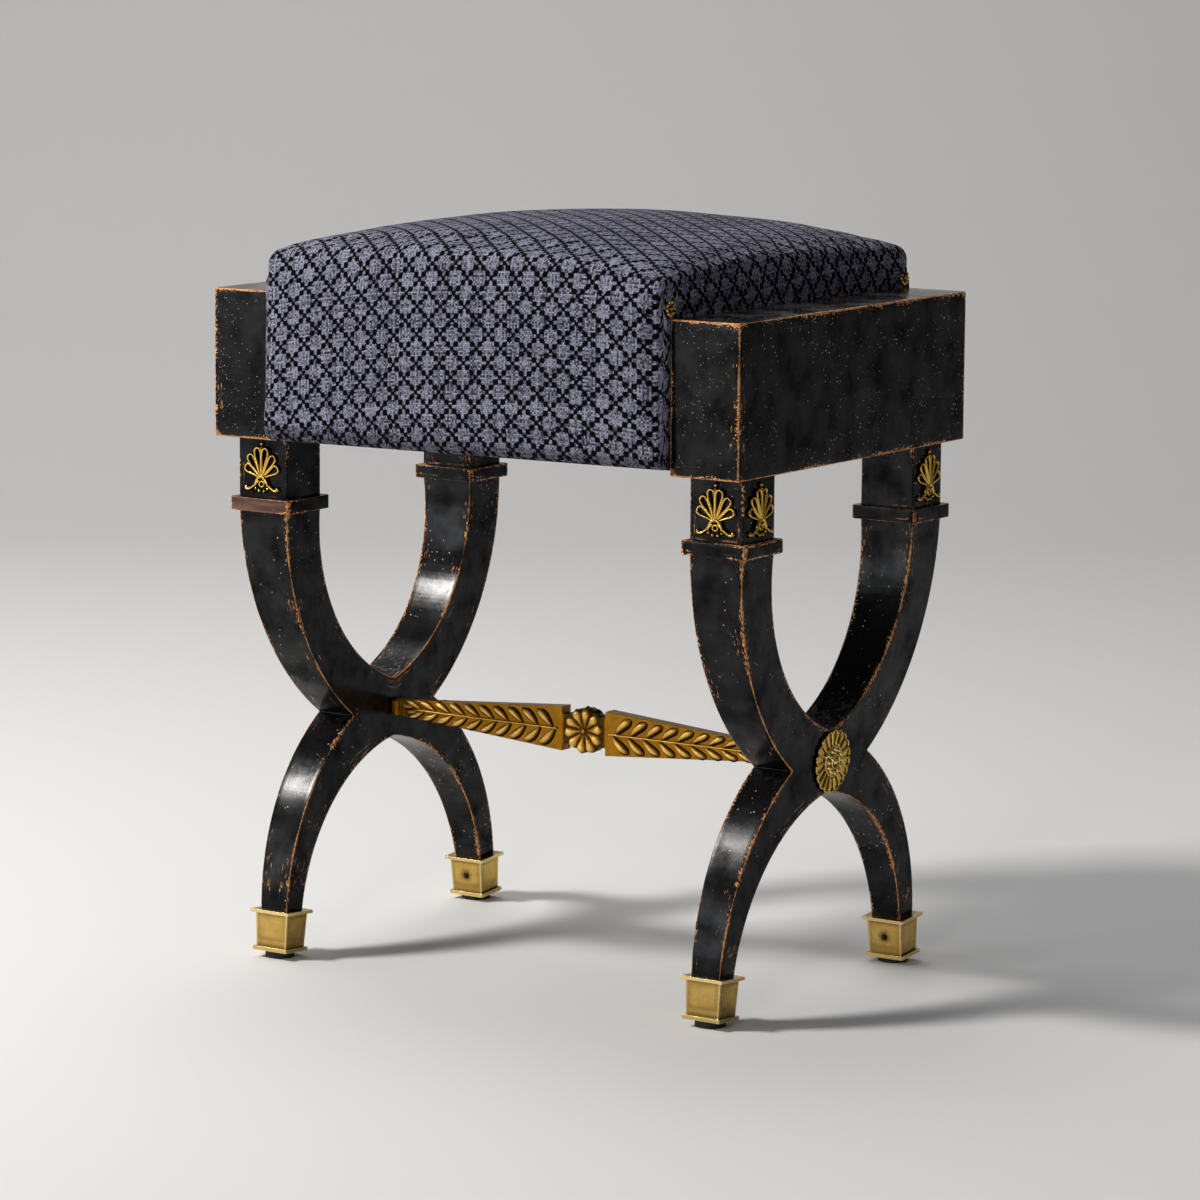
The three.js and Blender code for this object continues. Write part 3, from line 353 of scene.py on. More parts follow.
    shader = add_node(tree, "BsdfPrincipled", {"Base Color": colour, "Roughness": dry, "Normal": bump,
                                               "Specular IOR Level": gloss})
    add_node(tree, "OutputMaterial", {"Surface": shader})
    return material


upright_beech = ebonised_beech("ebonised_beech_upright", (1, 1, 0.1), 0.85, 0.78)
rail_beech = ebonised_beech("ebonised_beech_rail", (0.1, 0.1, 1), 1.1, 0.2)
collar_beech = ebonised_beech("ebonised_beech_collar", (0.1, 0.1, 1), 0.42, 0.85)

for side, turn in sides:
    mesh = bmesh.new()
    outline = frame_outline()
    faces_x = [face_x(head_inner_x, foot_inner_x), face_x(head_outer_x, foot_outer_x)]
    inner, outer = [[mesh.verts.new((x_at(z), y, z)) for y, z in outline] for x_at in faces_x]
    mesh.faces.new(outer)
    mesh.faces.new(reversed(inner))
    for i, vert in enumerate(outer):
        after = (i + 1) % len(outer)
        mesh.faces.new((vert, inner[i], inner[after], outer[after]))
    for end in (-1, 1):
        near, far = sorted((end * head_inner_y, end * head_outer_y))
        add_box(mesh, (head_inner_x, near, collar_bottom + head_start),
                (head_outer_x, far, rail_low.z - clearance))
    ease_arrises(mesh, frame_arris, frame_spacing)
    arris = noted(mesh, "arris")
    for vert in mesh.verts:
        if vert.co.z > collar_high.z:
            vert[arris] += sheltered_head
    add_piece(f"{side}_x_frame", mesh, upright_beech,
              [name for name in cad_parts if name.startswith(side + "_x_member")], turn)


# Collars. A square moulding of the same wood is glued round each head, close under the end
# rail, and stands proud of it all round. Its edges are rounded more than the frame's.
collar_arris = 1.3 * MM
collar_spacing = 4 * MM
rubbed_skin = 0.5 * MM  # how deep the rubbed face of one collar is taken to be


def named(ending):
    """Names of the CAD nodes that end so."""
    return [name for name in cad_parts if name.endswith(ending)]


for name in named("_collar"):
    mesh = cad_form(name)
    ease_arrises(mesh, collar_arris, collar_spacing)
    if name == "left_front_collar":
        # Its front face is the most handled: the black is rubbed thin all over
        thin = noted(mesh, "thin_film")
        front = min(vert.co.y for vert in mesh.verts)
        for vert in mesh.verts:
            vert[thin] = vert.co.y < front + rubbed_skin
    add_piece(name + "_rubbed", mesh, collar_beech, [name])


# End rails. A thick block of the same wood lies across each pair of heads, whose tenons are
# glued into its underside. The seat frame is tenoned into its inner face.
rail_arris = 1.0 * MM
rail_spacing = 6 * MM
for side, turn in sides:
    mesh = bmesh.new()
    add_box(mesh, rail_low, rail_high)
    ease_arrises(mesh, rail_arris, rail_spacing)
    add_piece(f"{side}_end_rail_rubbed", mesh, rail_beech, [f"{side}_end_rail"], turn)


# Shoes, their pins and glides. Each foot stands in a tapered box of cast brass with a thin
# flange at each end, held by a brass pin, over a disc of black rubber.
shoe_arris = 0.75 * MM
shoe_spacing = 2.5 * MM
# Painted shade, over a little patina, darkens each shoe toward its hollow edges under the flanges; a painted
# highlight, partly rubbing, brightens its arrises
shoe_shade = 0.6  # tone in the hollow edges, where an open face has 1
shade_start, shade_end = 0.4 * MM, 3.5 * MM  # off a hollow edge
shoe_rub_highlight, shoe_rub_highlight_reach = 0.7, 0.9  # how bright an arris is, and how many mm of it
pin_shade = 0.3
pin_surround = 5 * MM  # nothing is rubbed so near the middle of the pin


# The grit of a casting is about 0.2 mm. It is drawn at twice or three times that, to show.
def cast_brass(name, deep, body, bright, polished_highlight, roughness, grit, strike):
    """Cast brass, filed and waxed: warm, satin, brightest where rubbed, which is partly a painted highlight,
    and brown where it isn't; where its relief is low it takes painted shade.
    """
    material, tree = new_material(name)
    place = add_node(tree, "TexCoord", out="Object")
    cloud = add_node(tree, "TexNoise", {"Vector": place, "Scale": per_mm(9), "Detail": 6,
                                        "Roughness": 0.65}, out="Fac")
    pits = add_node(tree, "TexNoise", {"Vector": place, "Scale": per_mm(grit), "Detail": 3}, out="Fac")
    chased = add_node(tree, "TexNoise", {"Vector": place, "Scale": per_mm(1.7), "Detail": 2}, out="Fac")
    relief = add_node(tree, "Attribute", attribute_name="relief", out="Fac")
    rubbed = add_node(tree, "Attribute", attribute_name="rubbed", out="Fac")
    # Painted shade: where the relief is low, at hollow edges and at the feet of raised lines, the colour
    # falls to the deep brown
    low = add_node(tree, "MapRange", {"Value": relief, "From Min": 0.45, "From Max": 1.0})
    tone = add_node(tree, "Mix", {"Factor": cloud, "A": linear(body), "B": linear(bright)},
                    data_type="RGBA", out="Result")
    tone = add_node(tree, "Mix", {"Factor": low, "A": linear(deep), "B": tone},
                    data_type="RGBA", out="Result")
    # Painted highlight, partly real rubbing: what is noted as rubbed turns to the pale polished colour
    tone = add_node(tree, "Mix", {"Factor": rubbed, "A": tone, "B": linear(polished_highlight)},
                    data_type="RGBA", out="Result")
    rough = add_node(tree, "MapRange", {"Value": cloud, "To Min": roughness - 0.08,
                                        "To Max": roughness + 0.12})
    height = add_node(tree, "Math", [pits, 0.3, chased], operation="MULTIPLY_ADD")
    bump = add_node(tree, "Bump", {"Height": height, "Strength": strike, "Distance": 0.4 * MM})
    shader = add_node(tree, "BsdfPrincipled", {"Base Color": tone, "Metallic": 1, "Roughness": rough,
                                               "Normal": bump})
    add_node(tree, "OutputMaterial", {"Surface": shader})
    return material


def smooth_step(value, low, high):
    """From 0 at low to 1 at high, with soft ends."""
    share = min(max((value - low) / (high - low), 0), 1)
    return share * share * (3 - 2 * share)


def distance_to_line(point, start, end):
    """Distance of a point from a straight line between two others."""
    span = end - start
    share = min(max((point - start).dot(span) / span.length_squared, 0), 1)
    return (point - start - span * share).length


def mark_relief(mesh, value):
    """Notes one height in the relief for the whole mesh; the lower it is, the more painted shade the brass
    or gilding takes. A part in the open has 1.
    """
    layer = noted(mesh, "relief")
    for vert in mesh.verts:
        vert[layer] = value


shoe_brass = cast_brass("cast_brass_shoe", "#3c260c", "#a98236", "#e3c070", "#f6e0a0", 0.24, 0.6, 0.16)
for name in named("_shoe"):
    mesh = cad_form(name)
    hollows = [[vert.co.copy() for vert in edge.verts] for edge in mesh.edges
               if edge.is_manifold and edge.calc_face_angle_signed() < -sharp_turn]
    pin_middle = sum(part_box(name + "_pin"), Vector()) / 2
    ease_arrises(mesh, shoe_arris, shoe_spacing)
    relief, arris, rubbed = [noted(mesh, layer) for layer in ("relief", "arris", "rubbed")]
    # Painted shade toward the hollow edges, and a painted highlight, partly rubbing, along the arrises away
    # from the pin
    for vert in mesh.verts:
        off_hollow = min(distance_to_line(vert.co, *ends) for ends in hollows)
        vert[relief] = shoe_shade + (1 - shoe_shade) * smooth_step(off_hollow, shade_start, shade_end)
        if (vert.co - pin_middle).length >= pin_surround:
            vert[rubbed] = shoe_rub_highlight * max(0, 1 - vert[arris] / shoe_rub_highlight_reach)
    add_piece(name + "_cast", mesh, shoe_brass, [name])
for name in named("_shoe_pin"):
    mesh = cad_form(name)
    ease_arrises(mesh, shoe_arris, shoe_spacing)
    mark_relief(mesh, pin_shade)
    add_piece(name + "_domed", mesh, shoe_brass, [name])

# Natural rubber, moulded: dull black with a faint dusty bloom
rubber, tree = new_material("moulded_rubber")
place = add_node(tree, "TexCoord", out="Object")
dust = add_node(tree, "TexNoise", {"Vector": place, "Scale": per_mm(4), "Detail": 4}, out="Fac")
colour = add_node(tree, "Mix", {"Factor": dust, "A": linear("#0f0f0f"), "B": linear("#262524")},
                  data_type="RGBA", out="Result")
bump = add_node(tree, "Bump", {"Height": dust, "Strength": 0.2, "Distance": 0.1 * MM})
shader = add_node(tree, "BsdfPrincipled", {"Base Color": colour, "Roughness": 0.75, "Normal": bump})
add_node(tree, "OutputMaterial", {"Surface": shader})

glide_arris = 0.5 * MM
for name in named("_glide"):
    mesh = cad_form(name)
    ease_arrises(mesh, glide_arris, shoe_spacing)
    add_piece(name + "_moulded", mesh, rubber, [name])


# Palmettes. Cast and chased brass mounts are pinned to the two outer faces of each head:
# seven leaves drawn as wire loops, fanned over an arch whose feet run out into scrolls.
palmette_wire, palmette_rise = 1.95 * MM, 2.1 * MM
palmette_stand_off, palmette_drop = 0.05 * MM, 0.2 * MM
fan_height = 10.6 * MM
loop_leans = [10, 34, 60]
loop_lengths = [20.3 * MM, 18.2 * MM, 15.2 * MM]
loop_half_width = 2.5 * MM
loop_lifts = [0.5 * MM, 0.25 * MM, 0 * MM]
loop_shape = [(0.12, 0), (0.34, 0.3), (0.72, 0.58), (1.0, 0.8), (0.86, 0.94), (0.34, 1.0)]
scroll_points = [(2.2, 9.6), (4.6, 6.9), (7.6, 4.6), (10.4, 3.0), (12.6, 2.8)]
scroll_wire, scroll_rise = palmette_wire * 1.3, palmette_rise * 1.2
arch_points = [(-5.4, 5.4), (-4.2, 8.6), (-2.2, 11.2), (0, 12.2), (2.2, 11.2), (4.2, 8.6), (5.4, 5.4)]
arch_wire, arch_rise = palmette_wire * 1.4, palmette_rise * 1.4
arch_ring, ring_wire = (0, 6.8, 1.9), palmette_wire * 0.8
curl_balls = [(12.8, 3.6, 2.3), (1.9, 2.1, 1.7), (4.9, 3.6, 1.5)]  # X, Y and radius
ball_rise = palmette_rise * 1.35
finial_beads = [(31.2, 1.3), (33.7, 1.9)]  # Y and radius
stem_foot, stem_top = 12.4 * MM, 30.6 * MM
stem_beads = 24
stem_wire, finial_rise = palmette_wire * 0.9, palmette_rise * 1.3
round_profile = [0, 0.5, 0.87, 1, 0.87, 0.5, 0]
wire_waver, waver_scale = 0.16, 900  # how unevenly the wires are cast
bead_steps = 6
thinnest = 0.02 * MM


def join_rows(mesh, rows, around=False):
    """Adds the faces between each row of points and the next, with rows that close if asked."""
    for row, after in zip(rows, rows[1:]):
        for k in range(len(row) - (not around)):
            n = (k + 1) % len(row)
            mesh.faces.new((row[k], row[n], after[n], after[k])).smooth = True


def smooth_outward(mesh):
    """Turns all faces outward and shades them smooth."""
    bmesh.ops.recalc_face_normals(mesh, faces=mesh.faces)
    for face in mesh.faces:
        face.smooth = True
    return mesh


def sweep_wire(mesh, path, width, rise, closed=False, scales=None):
    """Adds a low bar along a flat path, with its height noted as relief, so that its foot takes painted
    shade.
    """
    layer = noted(mesh, "relief")
    rings = []
    for i, point in enumerate(path):
        before = path[i - 1] if i or closed else point
        after = path[(i + 1) % len(path)] if i + 1 < len(path) or closed else point
        along = (after - before).normalized()
        across = Vector((-along.y, along.x))
        swell = (scales[i] if scales else 1) * (1 + wire_waver * noise.noise(point.to_3d() * waver_scale))
        ring = []
        for k, height in enumerate(round_profile):
            side = point + across * (math.cos(math.pi * k / (len(round_profile) - 1)) * width / 2 * swell)
            vert = mesh.verts.new((side.x, side.y, height * rise * swell))
            vert[layer] = height
            ring.append(vert)
        rings.append(ring)
    join_rows(mesh, rings + rings[:1] if closed else rings, around=True)
    if not closed:
        mesh.faces.new(reversed(rings[0]))
        mesh.faces.new(rings[-1])


def add_dome(mesh, start, end, half_widths, rises, sink=0.3 * MM, steps=6, tone=1, bend=0, ridge=1):
    """Adds a raised leaf or bead over a line, from its half widths and heights along it. Its height, times
    tone, is noted as relief, so that its foot takes painted shade.
    """
    layer = noted(mesh, "relief")
    start, end = Vector(start), Vector(end)
    across = Vector((start.y - end.y, end.x - start.x, 0)).normalized()
    highest = max(rises)
    rings = []
    for i, (half, rise) in enumerate(zip(half_widths, rises)):
        share = i / (len(rises) - 1)
        centre = start.lerp(end, share) + across * bend * math.sin(math.pi * share)
        ring = []
        for k in range(steps + 1):
            angle = math.pi * k / steps
            place = centre + across * (math.cos(angle) * half)
            height = abs(math.sin(angle)) ** ridge
            place.z += height * rise - sink
            vert = mesh.verts.new(place)
            vert[layer] = height * rise / highest * tone
            ring.append(vert)
        rings.append(ring)
    lines = list(zip(*rings))
    join_rows(mesh, lines + lines[:1])
    mesh.faces.new(rings[0])
    mesh.faces.new(reversed(rings[-1]))


def add_bead(mesh, x, y, radius, rise):
    """Adds a round bead at a place."""
    shares = [math.sin(math.pi * i / bead_steps) for i in range(bead_steps + 1)]
    widths, rises = [[max(size * share, thinnest) for share in shares] for size in (radius, rise)]
    add_dome(mesh, (x - radius, y, 0), (x + radius, y, 0), widths, rises)


def circle_path(x, y, radius, steps=12):
    """Points round a circle."""
    return [Vector((x + radius * math.cos(2 * math.pi * i / steps),
                    y + radius * math.sin(2 * math.pi * i / steps))) for i in range(steps)]


def smooth_path(points, steps=5):
    """A smooth line through points."""
    line = []
    for i in range(len(points) - 1):
        p0 = points[max(i - 1, 0)]
        p1, p2 = points[i], points[i + 1]
        p3 = points[min(i + 2, len(points) - 1)]
        for k in range(steps):
            t = k / steps
            line.append(0.5 * (2 * p1 + (p2 - p0) * t + (2 * p0 - 5 * p1 + 4 * p2 - p3) * t * t
                               + (3 * p1 - p0 - 3 * p2 + p3) * t ** 3))
    return line + [points[-1]]


def palmette_mesh():
    """One mount, flat, with its foot at the origin: X across, Y up and Z out of the face."""
    mesh = bmesh.new()
    fan = Vector((0, fan_height))
    for side in (-1, 1):
        for lean, length, lift in zip(loop_leans, loop_lengths, loop_lifts):
            turn = Matrix.Rotation(-side * math.radians(lean), 2)
            half = [Vector((across * loop_half_width, run * length)) for across, run in loop_shape]
            other = [Vector((-point.x, point.y)) for point in reversed(half)]
            loop = [fan + turn @ point for point in smooth_path(half + other, 3)]
            count = len(mesh.verts)
            sweep_wire(mesh, loop, palmette_wire, palmette_rise)
            mesh.verts.ensure_lookup_table()
            for vert in mesh.verts[count:]:
                vert.co.z += lift
        scroll = smooth_path([Vector((side * x * MM, y * MM)) for x, y in scroll_points])
        sweep_wire(mesh, scroll, scroll_wire, scroll_rise)
        for x, y, radius in curl_balls:
            add_bead(mesh, side * x * MM, y * MM, radius * MM, ball_rise)
    arch = smooth_path([Vector((x * MM, y * MM)) for x, y in arch_points])
    sweep_wire(mesh, arch, arch_wire, arch_rise)
    x, y, radius = arch_ring
    sweep_wire(mesh, circle_path(x * MM, y * MM, radius * MM), ring_wire, palmette_rise, closed=True)
    for y, radius in finial_beads:
        add_bead(mesh, 0, y * MM, radius * MM, finial_rise)
    # The stem between the fan's halves is a row of little beads that grow upward
    beads = range(stem_beads + 1)
    stem = [Vector((0, stem_foot + (stem_top - stem_foot) * i / stem_beads)) for i in beads]
    swells = [(0.55 + 0.4 * i / stem_beads) * (1.15 if i % 2 else 0.85) for i in beads]
    sweep_wire(mesh, stem, stem_wire, finial_rise, scales=swells)
    return smooth_outward(mesh)


# Deep brown is painted shade low on wires, beads and plates; the polished colour is a painted highlight,
# partly rubbing, on what the rosettes mark as rubbed
mount_brass = cast_brass("cast_brass_mount", "#2a1804", "#ecae34", "#ffdf80", "#ffe79c", 0.17, 0.5, 0.4)
quarter_turn = math.pi / 2
for name in named("_palmette"):
    low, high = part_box(name)
    middle = (low + high) / 2
    if name.endswith("_end_palmette"):
        facing = quarter_turn if middle.x > 0 else -quarter_turn
        base = Vector((math.copysign(head_outer_x + palmette_stand_off, middle.x), middle.y, low.z))
    else:
        facing = 0 if middle.y < 0 else math.pi
        base = Vector((middle.x, math.copysign(head_outer_y + palmette_stand_off, middle.y), low.z))
    base.z -= palmette_drop
    mesh = palmette_mesh()
    mesh.transform(Matrix.Translation(base) @ Matrix.Rotation(facing, 4, "Z")
                   @ Matrix.Rotation(quarter_turn, 4, "X"))
    add_piece(name + "_chased", mesh, mount_brass, [name])


# Rosettes. A cast and chased brass mount covers the screw at each crossing: eighteen petals
# outlined like the palmettes' leaves, round a ring of beads and a domed button.
rosette_radius = 21.3 * MM
rosette_stand_off = 0.1 * MM
rosette_petals = 18
rosette_plates = [(rosette_radius - 1.8 * MM, 1.0 * MM), (10.4 * MM, 1.9 * MM)]  # radius, thickness
plate_sides = 54
# The plates take a little of the painted shade that low parts get
plate_tone = 0.9
petal_half = math.pi * (rosette_radius - 2.2 * MM) / rosette_petals - 0.5 * MM
petal_side = [  # how far out and how far to the side
    (10.0 * MM, 1.2 * MM), (14 * MM, petal_half * 0.75),
    (rosette_radius - 3.2 * MM, petal_half), (rosette_radius - 1.6 * MM, petal_half * 0.8),
]
petal_tip = (rosette_radius - 0.8 * MM, 0)
petal_wire, petal_wire_rise = 1.45 * MM, 2.3 * MM
rosette_rings = [(10.0 * MM, 1.3 * MM, 2.6 * MM, 36), (4.4 * MM, 1.2 * MM, 4.2 * MM, 24)]
rosette_beads, bead_circle = 12, 7.6 * MM
bead_radius, bead_rise = 1.95 * MM, 5.0 * MM
button_radius, button_rise = 3.4 * MM, 5.6 * MM
# What stands up gets a painted highlight, partly rubbing, from rub_low to rub_high
top_rub_highlight, rub_low, rub_high = 0.9, 1.6 * MM, 3.4 * MM  # how bright what stands up is rubbed, and from where


def rosette_mesh():
    """One mount, flat, with its middle at the origin and Z out of the face."""
    mesh = bmesh.new()
    for radius, thickness in rosette_plates:
        bmesh.ops.create_cone(mesh, cap_ends=True, segments=plate_sides, radius1=radius, radius2=radius,
                              depth=thickness, matrix=Matrix.Translation((0, 0, thickness / 2)))
    mark_relief(mesh, plate_tone)
    outline = ([(out, -across) for out, across in petal_side] + [petal_tip] + petal_side[::-1])
    for i in range(rosette_petals):
        turn = Matrix.Rotation(2 * math.pi * (i + 0.5) / rosette_petals, 2)
        petal = [turn @ Vector(point) for point in outline]
        sweep_wire(mesh, smooth_path(petal, 2), petal_wire, petal_wire_rise)
    for radius, wire, rise, steps in rosette_rings:
        sweep_wire(mesh, circle_path(0, 0, radius, steps), wire, rise, closed=True)
    for i in range(rosette_beads):
        angle = 2 * math.pi * i / rosette_beads
        add_bead(mesh, bead_circle * math.cos(angle), bead_circle * math.sin(angle), bead_radius, bead_rise)
    add_bead(mesh, 0, 0, button_radius, button_rise)
    # Painted highlight, partly rubbing, on what stands highest
    rubbed = noted(mesh, "rubbed")
    for vert in mesh.verts:
        vert[rubbed] = top_rub_highlight * smooth_step(vert.co.z, rub_low, rub_high)
    return smooth_outward(mesh)


frame_lean = math.atan2(head_outer_x - foot_outer_x, collar_bottom - foot_top)
crossing_x = face_x(head_outer_x, foot_outer_x)(crossing_height)
for side, turn in sides:
    mesh = rosette_mesh()
    mesh.transform(Matrix.Translation((crossing_x + rosette_stand_off, 0, crossing_height))
                   @ Matrix.Rotation(quarter_turn + frame_lean, 4, "Y")
                   @ Matrix.Rotation(quarter_turn, 4, "Z"))
    add_piece(f"{side}_rosette_chased", mesh, mount_brass, [f"{side}_rosette"], turn)


# Stretcher. A double taper of limewood between the two crossings, carved with laurel leaves
# on its front and back and a ten-petalled flower at the middle, then gessoed and gilded.
stretcher_half_height, stretcher_half_depth = 15 * MM, 5.2 * MM
stretcher_end_half_height, stretcher_end_half_depth = 5 * MM, 3.9 * MM
stretcher_arris, stretcher_spacing = 0.7 * MM, 8 * MM
flower_radius = 15.4 * MM
flower_petals = 10
flower_scallop = 1.6 * MM
flower_turn = 0.25  # of a petal, from the stretcher's line
flower_inset = 1 * MM  # of the disc behind the petals, from the carved faces
lobe_steps = 8
neck_half = 10 * MM
piece_overlap = 1 * MM  # where two blocks of the stretcher run into each other
boss_half = 5.6 * MM
boss_length = 5.4 * MM
boss_rounding = 1.9 * MM
boss_outer = face_x(head_inner_x, foot_inner_x)(crossing_height) - clearance
taper_start = 17.2 * MM
taper_end = boss_outer - boss_length
# Relief of the plain ground, and of the middle block sunk behind the flower, which takes painted shade
# almost to black between the petals
ground_tone, block_shade = 0.4, 0.05
leaves_per_row = 10
first_leaf, last_leaf = taper_start + 6 * MM, taper_end - 22 * MM
leaf_run, leaf_margin = 12.2 * MM, 1.3 * MM
leaf_half_width = 2.8 * MM
leaf_rise, leaf_ridge = 3.5 * MM, 1.5
leaf_bend = 0.9 * MM
leaf_share, leaf_uneven = 0.93, 0.1  # of the face's half height, and how much it varies
leaf_off_rib = 0.6 * MM
margin_less, run_more, size_less = 0.5, 0.1, 0.35  # from the first leaf to the last
row_lag = 2.2 * MM  # of the upper row behind the lower one
rib_start, rib_run = taper_start + 3.5 * MM, last_leaf + 4 * MM - taper_start
rib_wire, rib_rise, rib_steps = 1.3 * MM, 1.7 * MM, 20
end_leaves = [(last_leaf + 5 * MM, -1.4 * MM), (last_leaf + 9 * MM, 1.5 * MM)]
end_leaf_run, end_leaf_flare = 10 * MM, 1.3
end_leaf_half_width, end_leaf_rise = 1.5 * MM, 1.6 * MM
# Beside and under each leaf, a low dark sheet shifted down and to one side is a painted shadow in the
# gouge's groove
groove_shadow_offset = Vector((0.75 * MM, -0.35 * MM, 0))
groove_shadow_share, groove_shadow_rise, groove_shadow_sink = 1.45, 0.35 * MM, 0.1 * MM
petal_foot, petal_past = 1.8 * MM, 0.3 * MM  # the second is past the disc's edge
petal_half_width, petal_rise, petal_sink = 3.7 * MM, 4.6 * MM, 0.8 * MM
eye_radius, eye_rise = 2.0 * MM, 3.2 * MM
carving_steps, groove_shadow_steps = 8, 4
leaf_width_shares = [0.3, 0.55, 0.75, 0.9, 1.0, 1.0, 0.85, 0.3]
leaf_rise_shares = [0.35, 0.6, 0.8, 0.92, 1.0, 0.95, 0.75, 0.15]
petal_width_shares = [0.2, 0.28, 0.38, 0.54, 0.74, 0.93, 1.0, 0.8, 0.2]
petal_rise_shares = [0.3, 0.4, 0.5, 0.62, 0.78, 0.93, 1.0, 0.8, 0.15]


def tapered_half(x, at_start, at_end):
    """A half size of the stretcher at a distance from its middle."""
    return at_start + (at_end - at_start) * (abs(x) - taper_start) / (taper_end - taper_start)


def stretcher_body():
    """The uncarved wood: a block at the middle, two tapers, two bosses and the lobed disc."""
    mesh = bmesh.new()
    neck = Vector((taper_start + piece_overlap, neck_half / 2, neck_half))
    add_box(mesh, -neck, neck)
    for side in (-1, 1):
        start, end = sorted((side * taper_start, side * taper_end))
        before = set(mesh.verts)
        add_box(mesh, (start, -stretcher_half_depth, -stretcher_half_height),
                (end, stretcher_half_depth, stretcher_half_height))
        for vert in set(mesh.verts) - before:
            if abs(vert.co.x) > (taper_start + taper_end) / 2:
                vert.co.y *= stretcher_end_half_depth / stretcher_half_depth
                vert.co.z *= stretcher_end_half_height / stretcher_half_height
        start, end = sorted((side * (taper_end - piece_overlap / 2), side * boss_outer))
        before = set(mesh.verts)
        add_box(mesh, (start, -boss_half, -boss_half), (end, boss_half, boss_half))
        boss = {edge for vert in set(mesh.verts) - before for edge in vert.link_edges}
        bmesh.ops.bevel(mesh, geom=list(boss), offset=boss_rounding, segments=3, profile=0.5,
                        affect="EDGES")
    lobes = []
    for i in range(flower_petals * lobe_steps):
        angle = 2 * math.pi * i / (flower_petals * lobe_steps)
        turned = angle - flower_turn * 2 * math.pi / flower_petals
        radius = flower_radius - flower_scallop * (1 - abs(math.cos(turned * flower_petals / 2)))
        lobes.append([mesh.verts.new((radius * math.cos(angle), y, radius * math.sin(angle)))
                      for y in (-stretcher_half_depth + flower_inset, stretcher_half_depth - flower_inset)])
    for (front, back), (next_front, next_back) in zip(lobes, lobes[1:] + lobes[:1]):
        mesh.faces.new((front, back, next_back, next_front))
    mesh.faces.new([front for front, back in lobes])
    mesh.faces.new([back for front, back in reversed(lobes)])
    ease_arrises(mesh, stretcher_arris, stretcher_spacing)
    mark_relief(mesh, ground_tone)
    relief = noted(mesh, "relief")
    for vert in mesh.verts:
        if abs(vert.co.x) < taper_start - 0.2 * MM:
            vert[relief] = block_shade
    return mesh


def carve_leaf(mesh, foot, tip, half_width, rise, bend):
    """One leaf and, beside and under it, the dark groove that the gouge leaves, drawn as a painted shadow
    cast to one side.
    """
    widths = [half_width * share for share in leaf_width_shares]
    shift = groove_shadow_offset * (half_width / leaf_half_width)
    add_dome(mesh, foot + shift, tip + shift, [width * groove_shadow_share for width in widths],
             [groove_shadow_rise] * len(widths), sink=groove_shadow_sink, steps=groove_shadow_steps, tone=0, bend=bend)
    add_dome(mesh, foot, tip, widths, [rise * share for share in leaf_rise_shares],
             steps=carving_steps, bend=bend, ridge=leaf_ridge)


def spokes(count, turn=0):
    """Directions of petals round a flower, which is turned by a share of one petal."""
    angles = [2 * math.pi * (i + turn) / count for i in range(count)]
    return [Vector((math.cos(angle), math.sin(angle), 0)) for angle in angles]


def carved_face():
    """Leaves, mid-ribs and the flower, drawn flat with X along and Y up."""
    mesh = bmesh.new()
    for side in (-1, 1):
        for i in range(leaves_per_row):
            share = i / (leaves_per_row - 1)
            for row in (-1, 1):
                x = first_leaf + (last_leaf - first_leaf) * share + row_lag * (row > 0)
                room = tapered_half(x + leaf_run, stretcher_half_height, stretcher_end_half_height)
                uneven = leaf_uneven * noise.noise(Vector((i, row, side)))
                up = row * (room - leaf_margin * (1 - margin_less * share)) * (leaf_share + uneven)
                foot = Vector((side * x, row * leaf_off_rib, 0))
                tip = Vector((side * (x + leaf_run * (1 + run_more * share)), up, 0))
                size = 1 - size_less * share
                carve_leaf(mesh, foot, tip, leaf_half_width * size, leaf_rise * size, side * row * leaf_bend)
        rib = [Vector((side * (rib_start + rib_run * i / rib_steps), 0)) for i in range(rib_steps + 1)]
        sweep_wire(mesh, rib, rib_wire, rib_rise)
        for start, up in end_leaves:
            carve_leaf(mesh, Vector((side * start, up, 0)),
                       Vector((side * (start + end_leaf_run), up * end_leaf_flare, 0)),
                       end_leaf_half_width, end_leaf_rise, 0)
    for spoke in spokes(flower_petals, flower_turn):
        add_dome(mesh, spoke * petal_foot, spoke * (flower_radius + petal_past),
                 [petal_half_width * share for share in petal_width_shares],
                 [petal_rise * share for share in petal_rise_shares], sink=petal_sink, steps=carving_steps)
    add_bead(mesh, 0, 0, eye_radius, eye_rise)
    return smooth_outward(mesh)


def join_mesh(mesh, other):
    """Adds a second mesh to a mesh."""
    carried = bpy.data.meshes.new("carried")
    other.to_mesh(carried)
    other.free()
    mesh.from_mesh(carried)
    bpy.data.meshes.remove(carried)


# Water gilding over gesso and bole, toned down: a warm satin metal, rubbed bright on what stands up, which
# is also a painted highlight, dark brown in the hollows, which is painted shade over the toning, and as
# uneven as the gesso that was cut under it.
gilding, tree = new_material("toned_gilding_with_painted_shade")
place = add_node(tree, "TexCoord", out="Object")
relief = add_node(tree, "Attribute", attribute_name="relief", out="Fac")
cloud = add_node(tree, "TexNoise", {"Vector": place, "Scale": per_mm(7), "Detail": 6,
                                    "Roughness": 0.7}, out="Fac")
dimple = add_node(tree, "TexNoise", {"Vector": place, "Scale": per_mm(1.9), "Detail": 5,
                                     "Roughness": 0.65}, out="Fac")
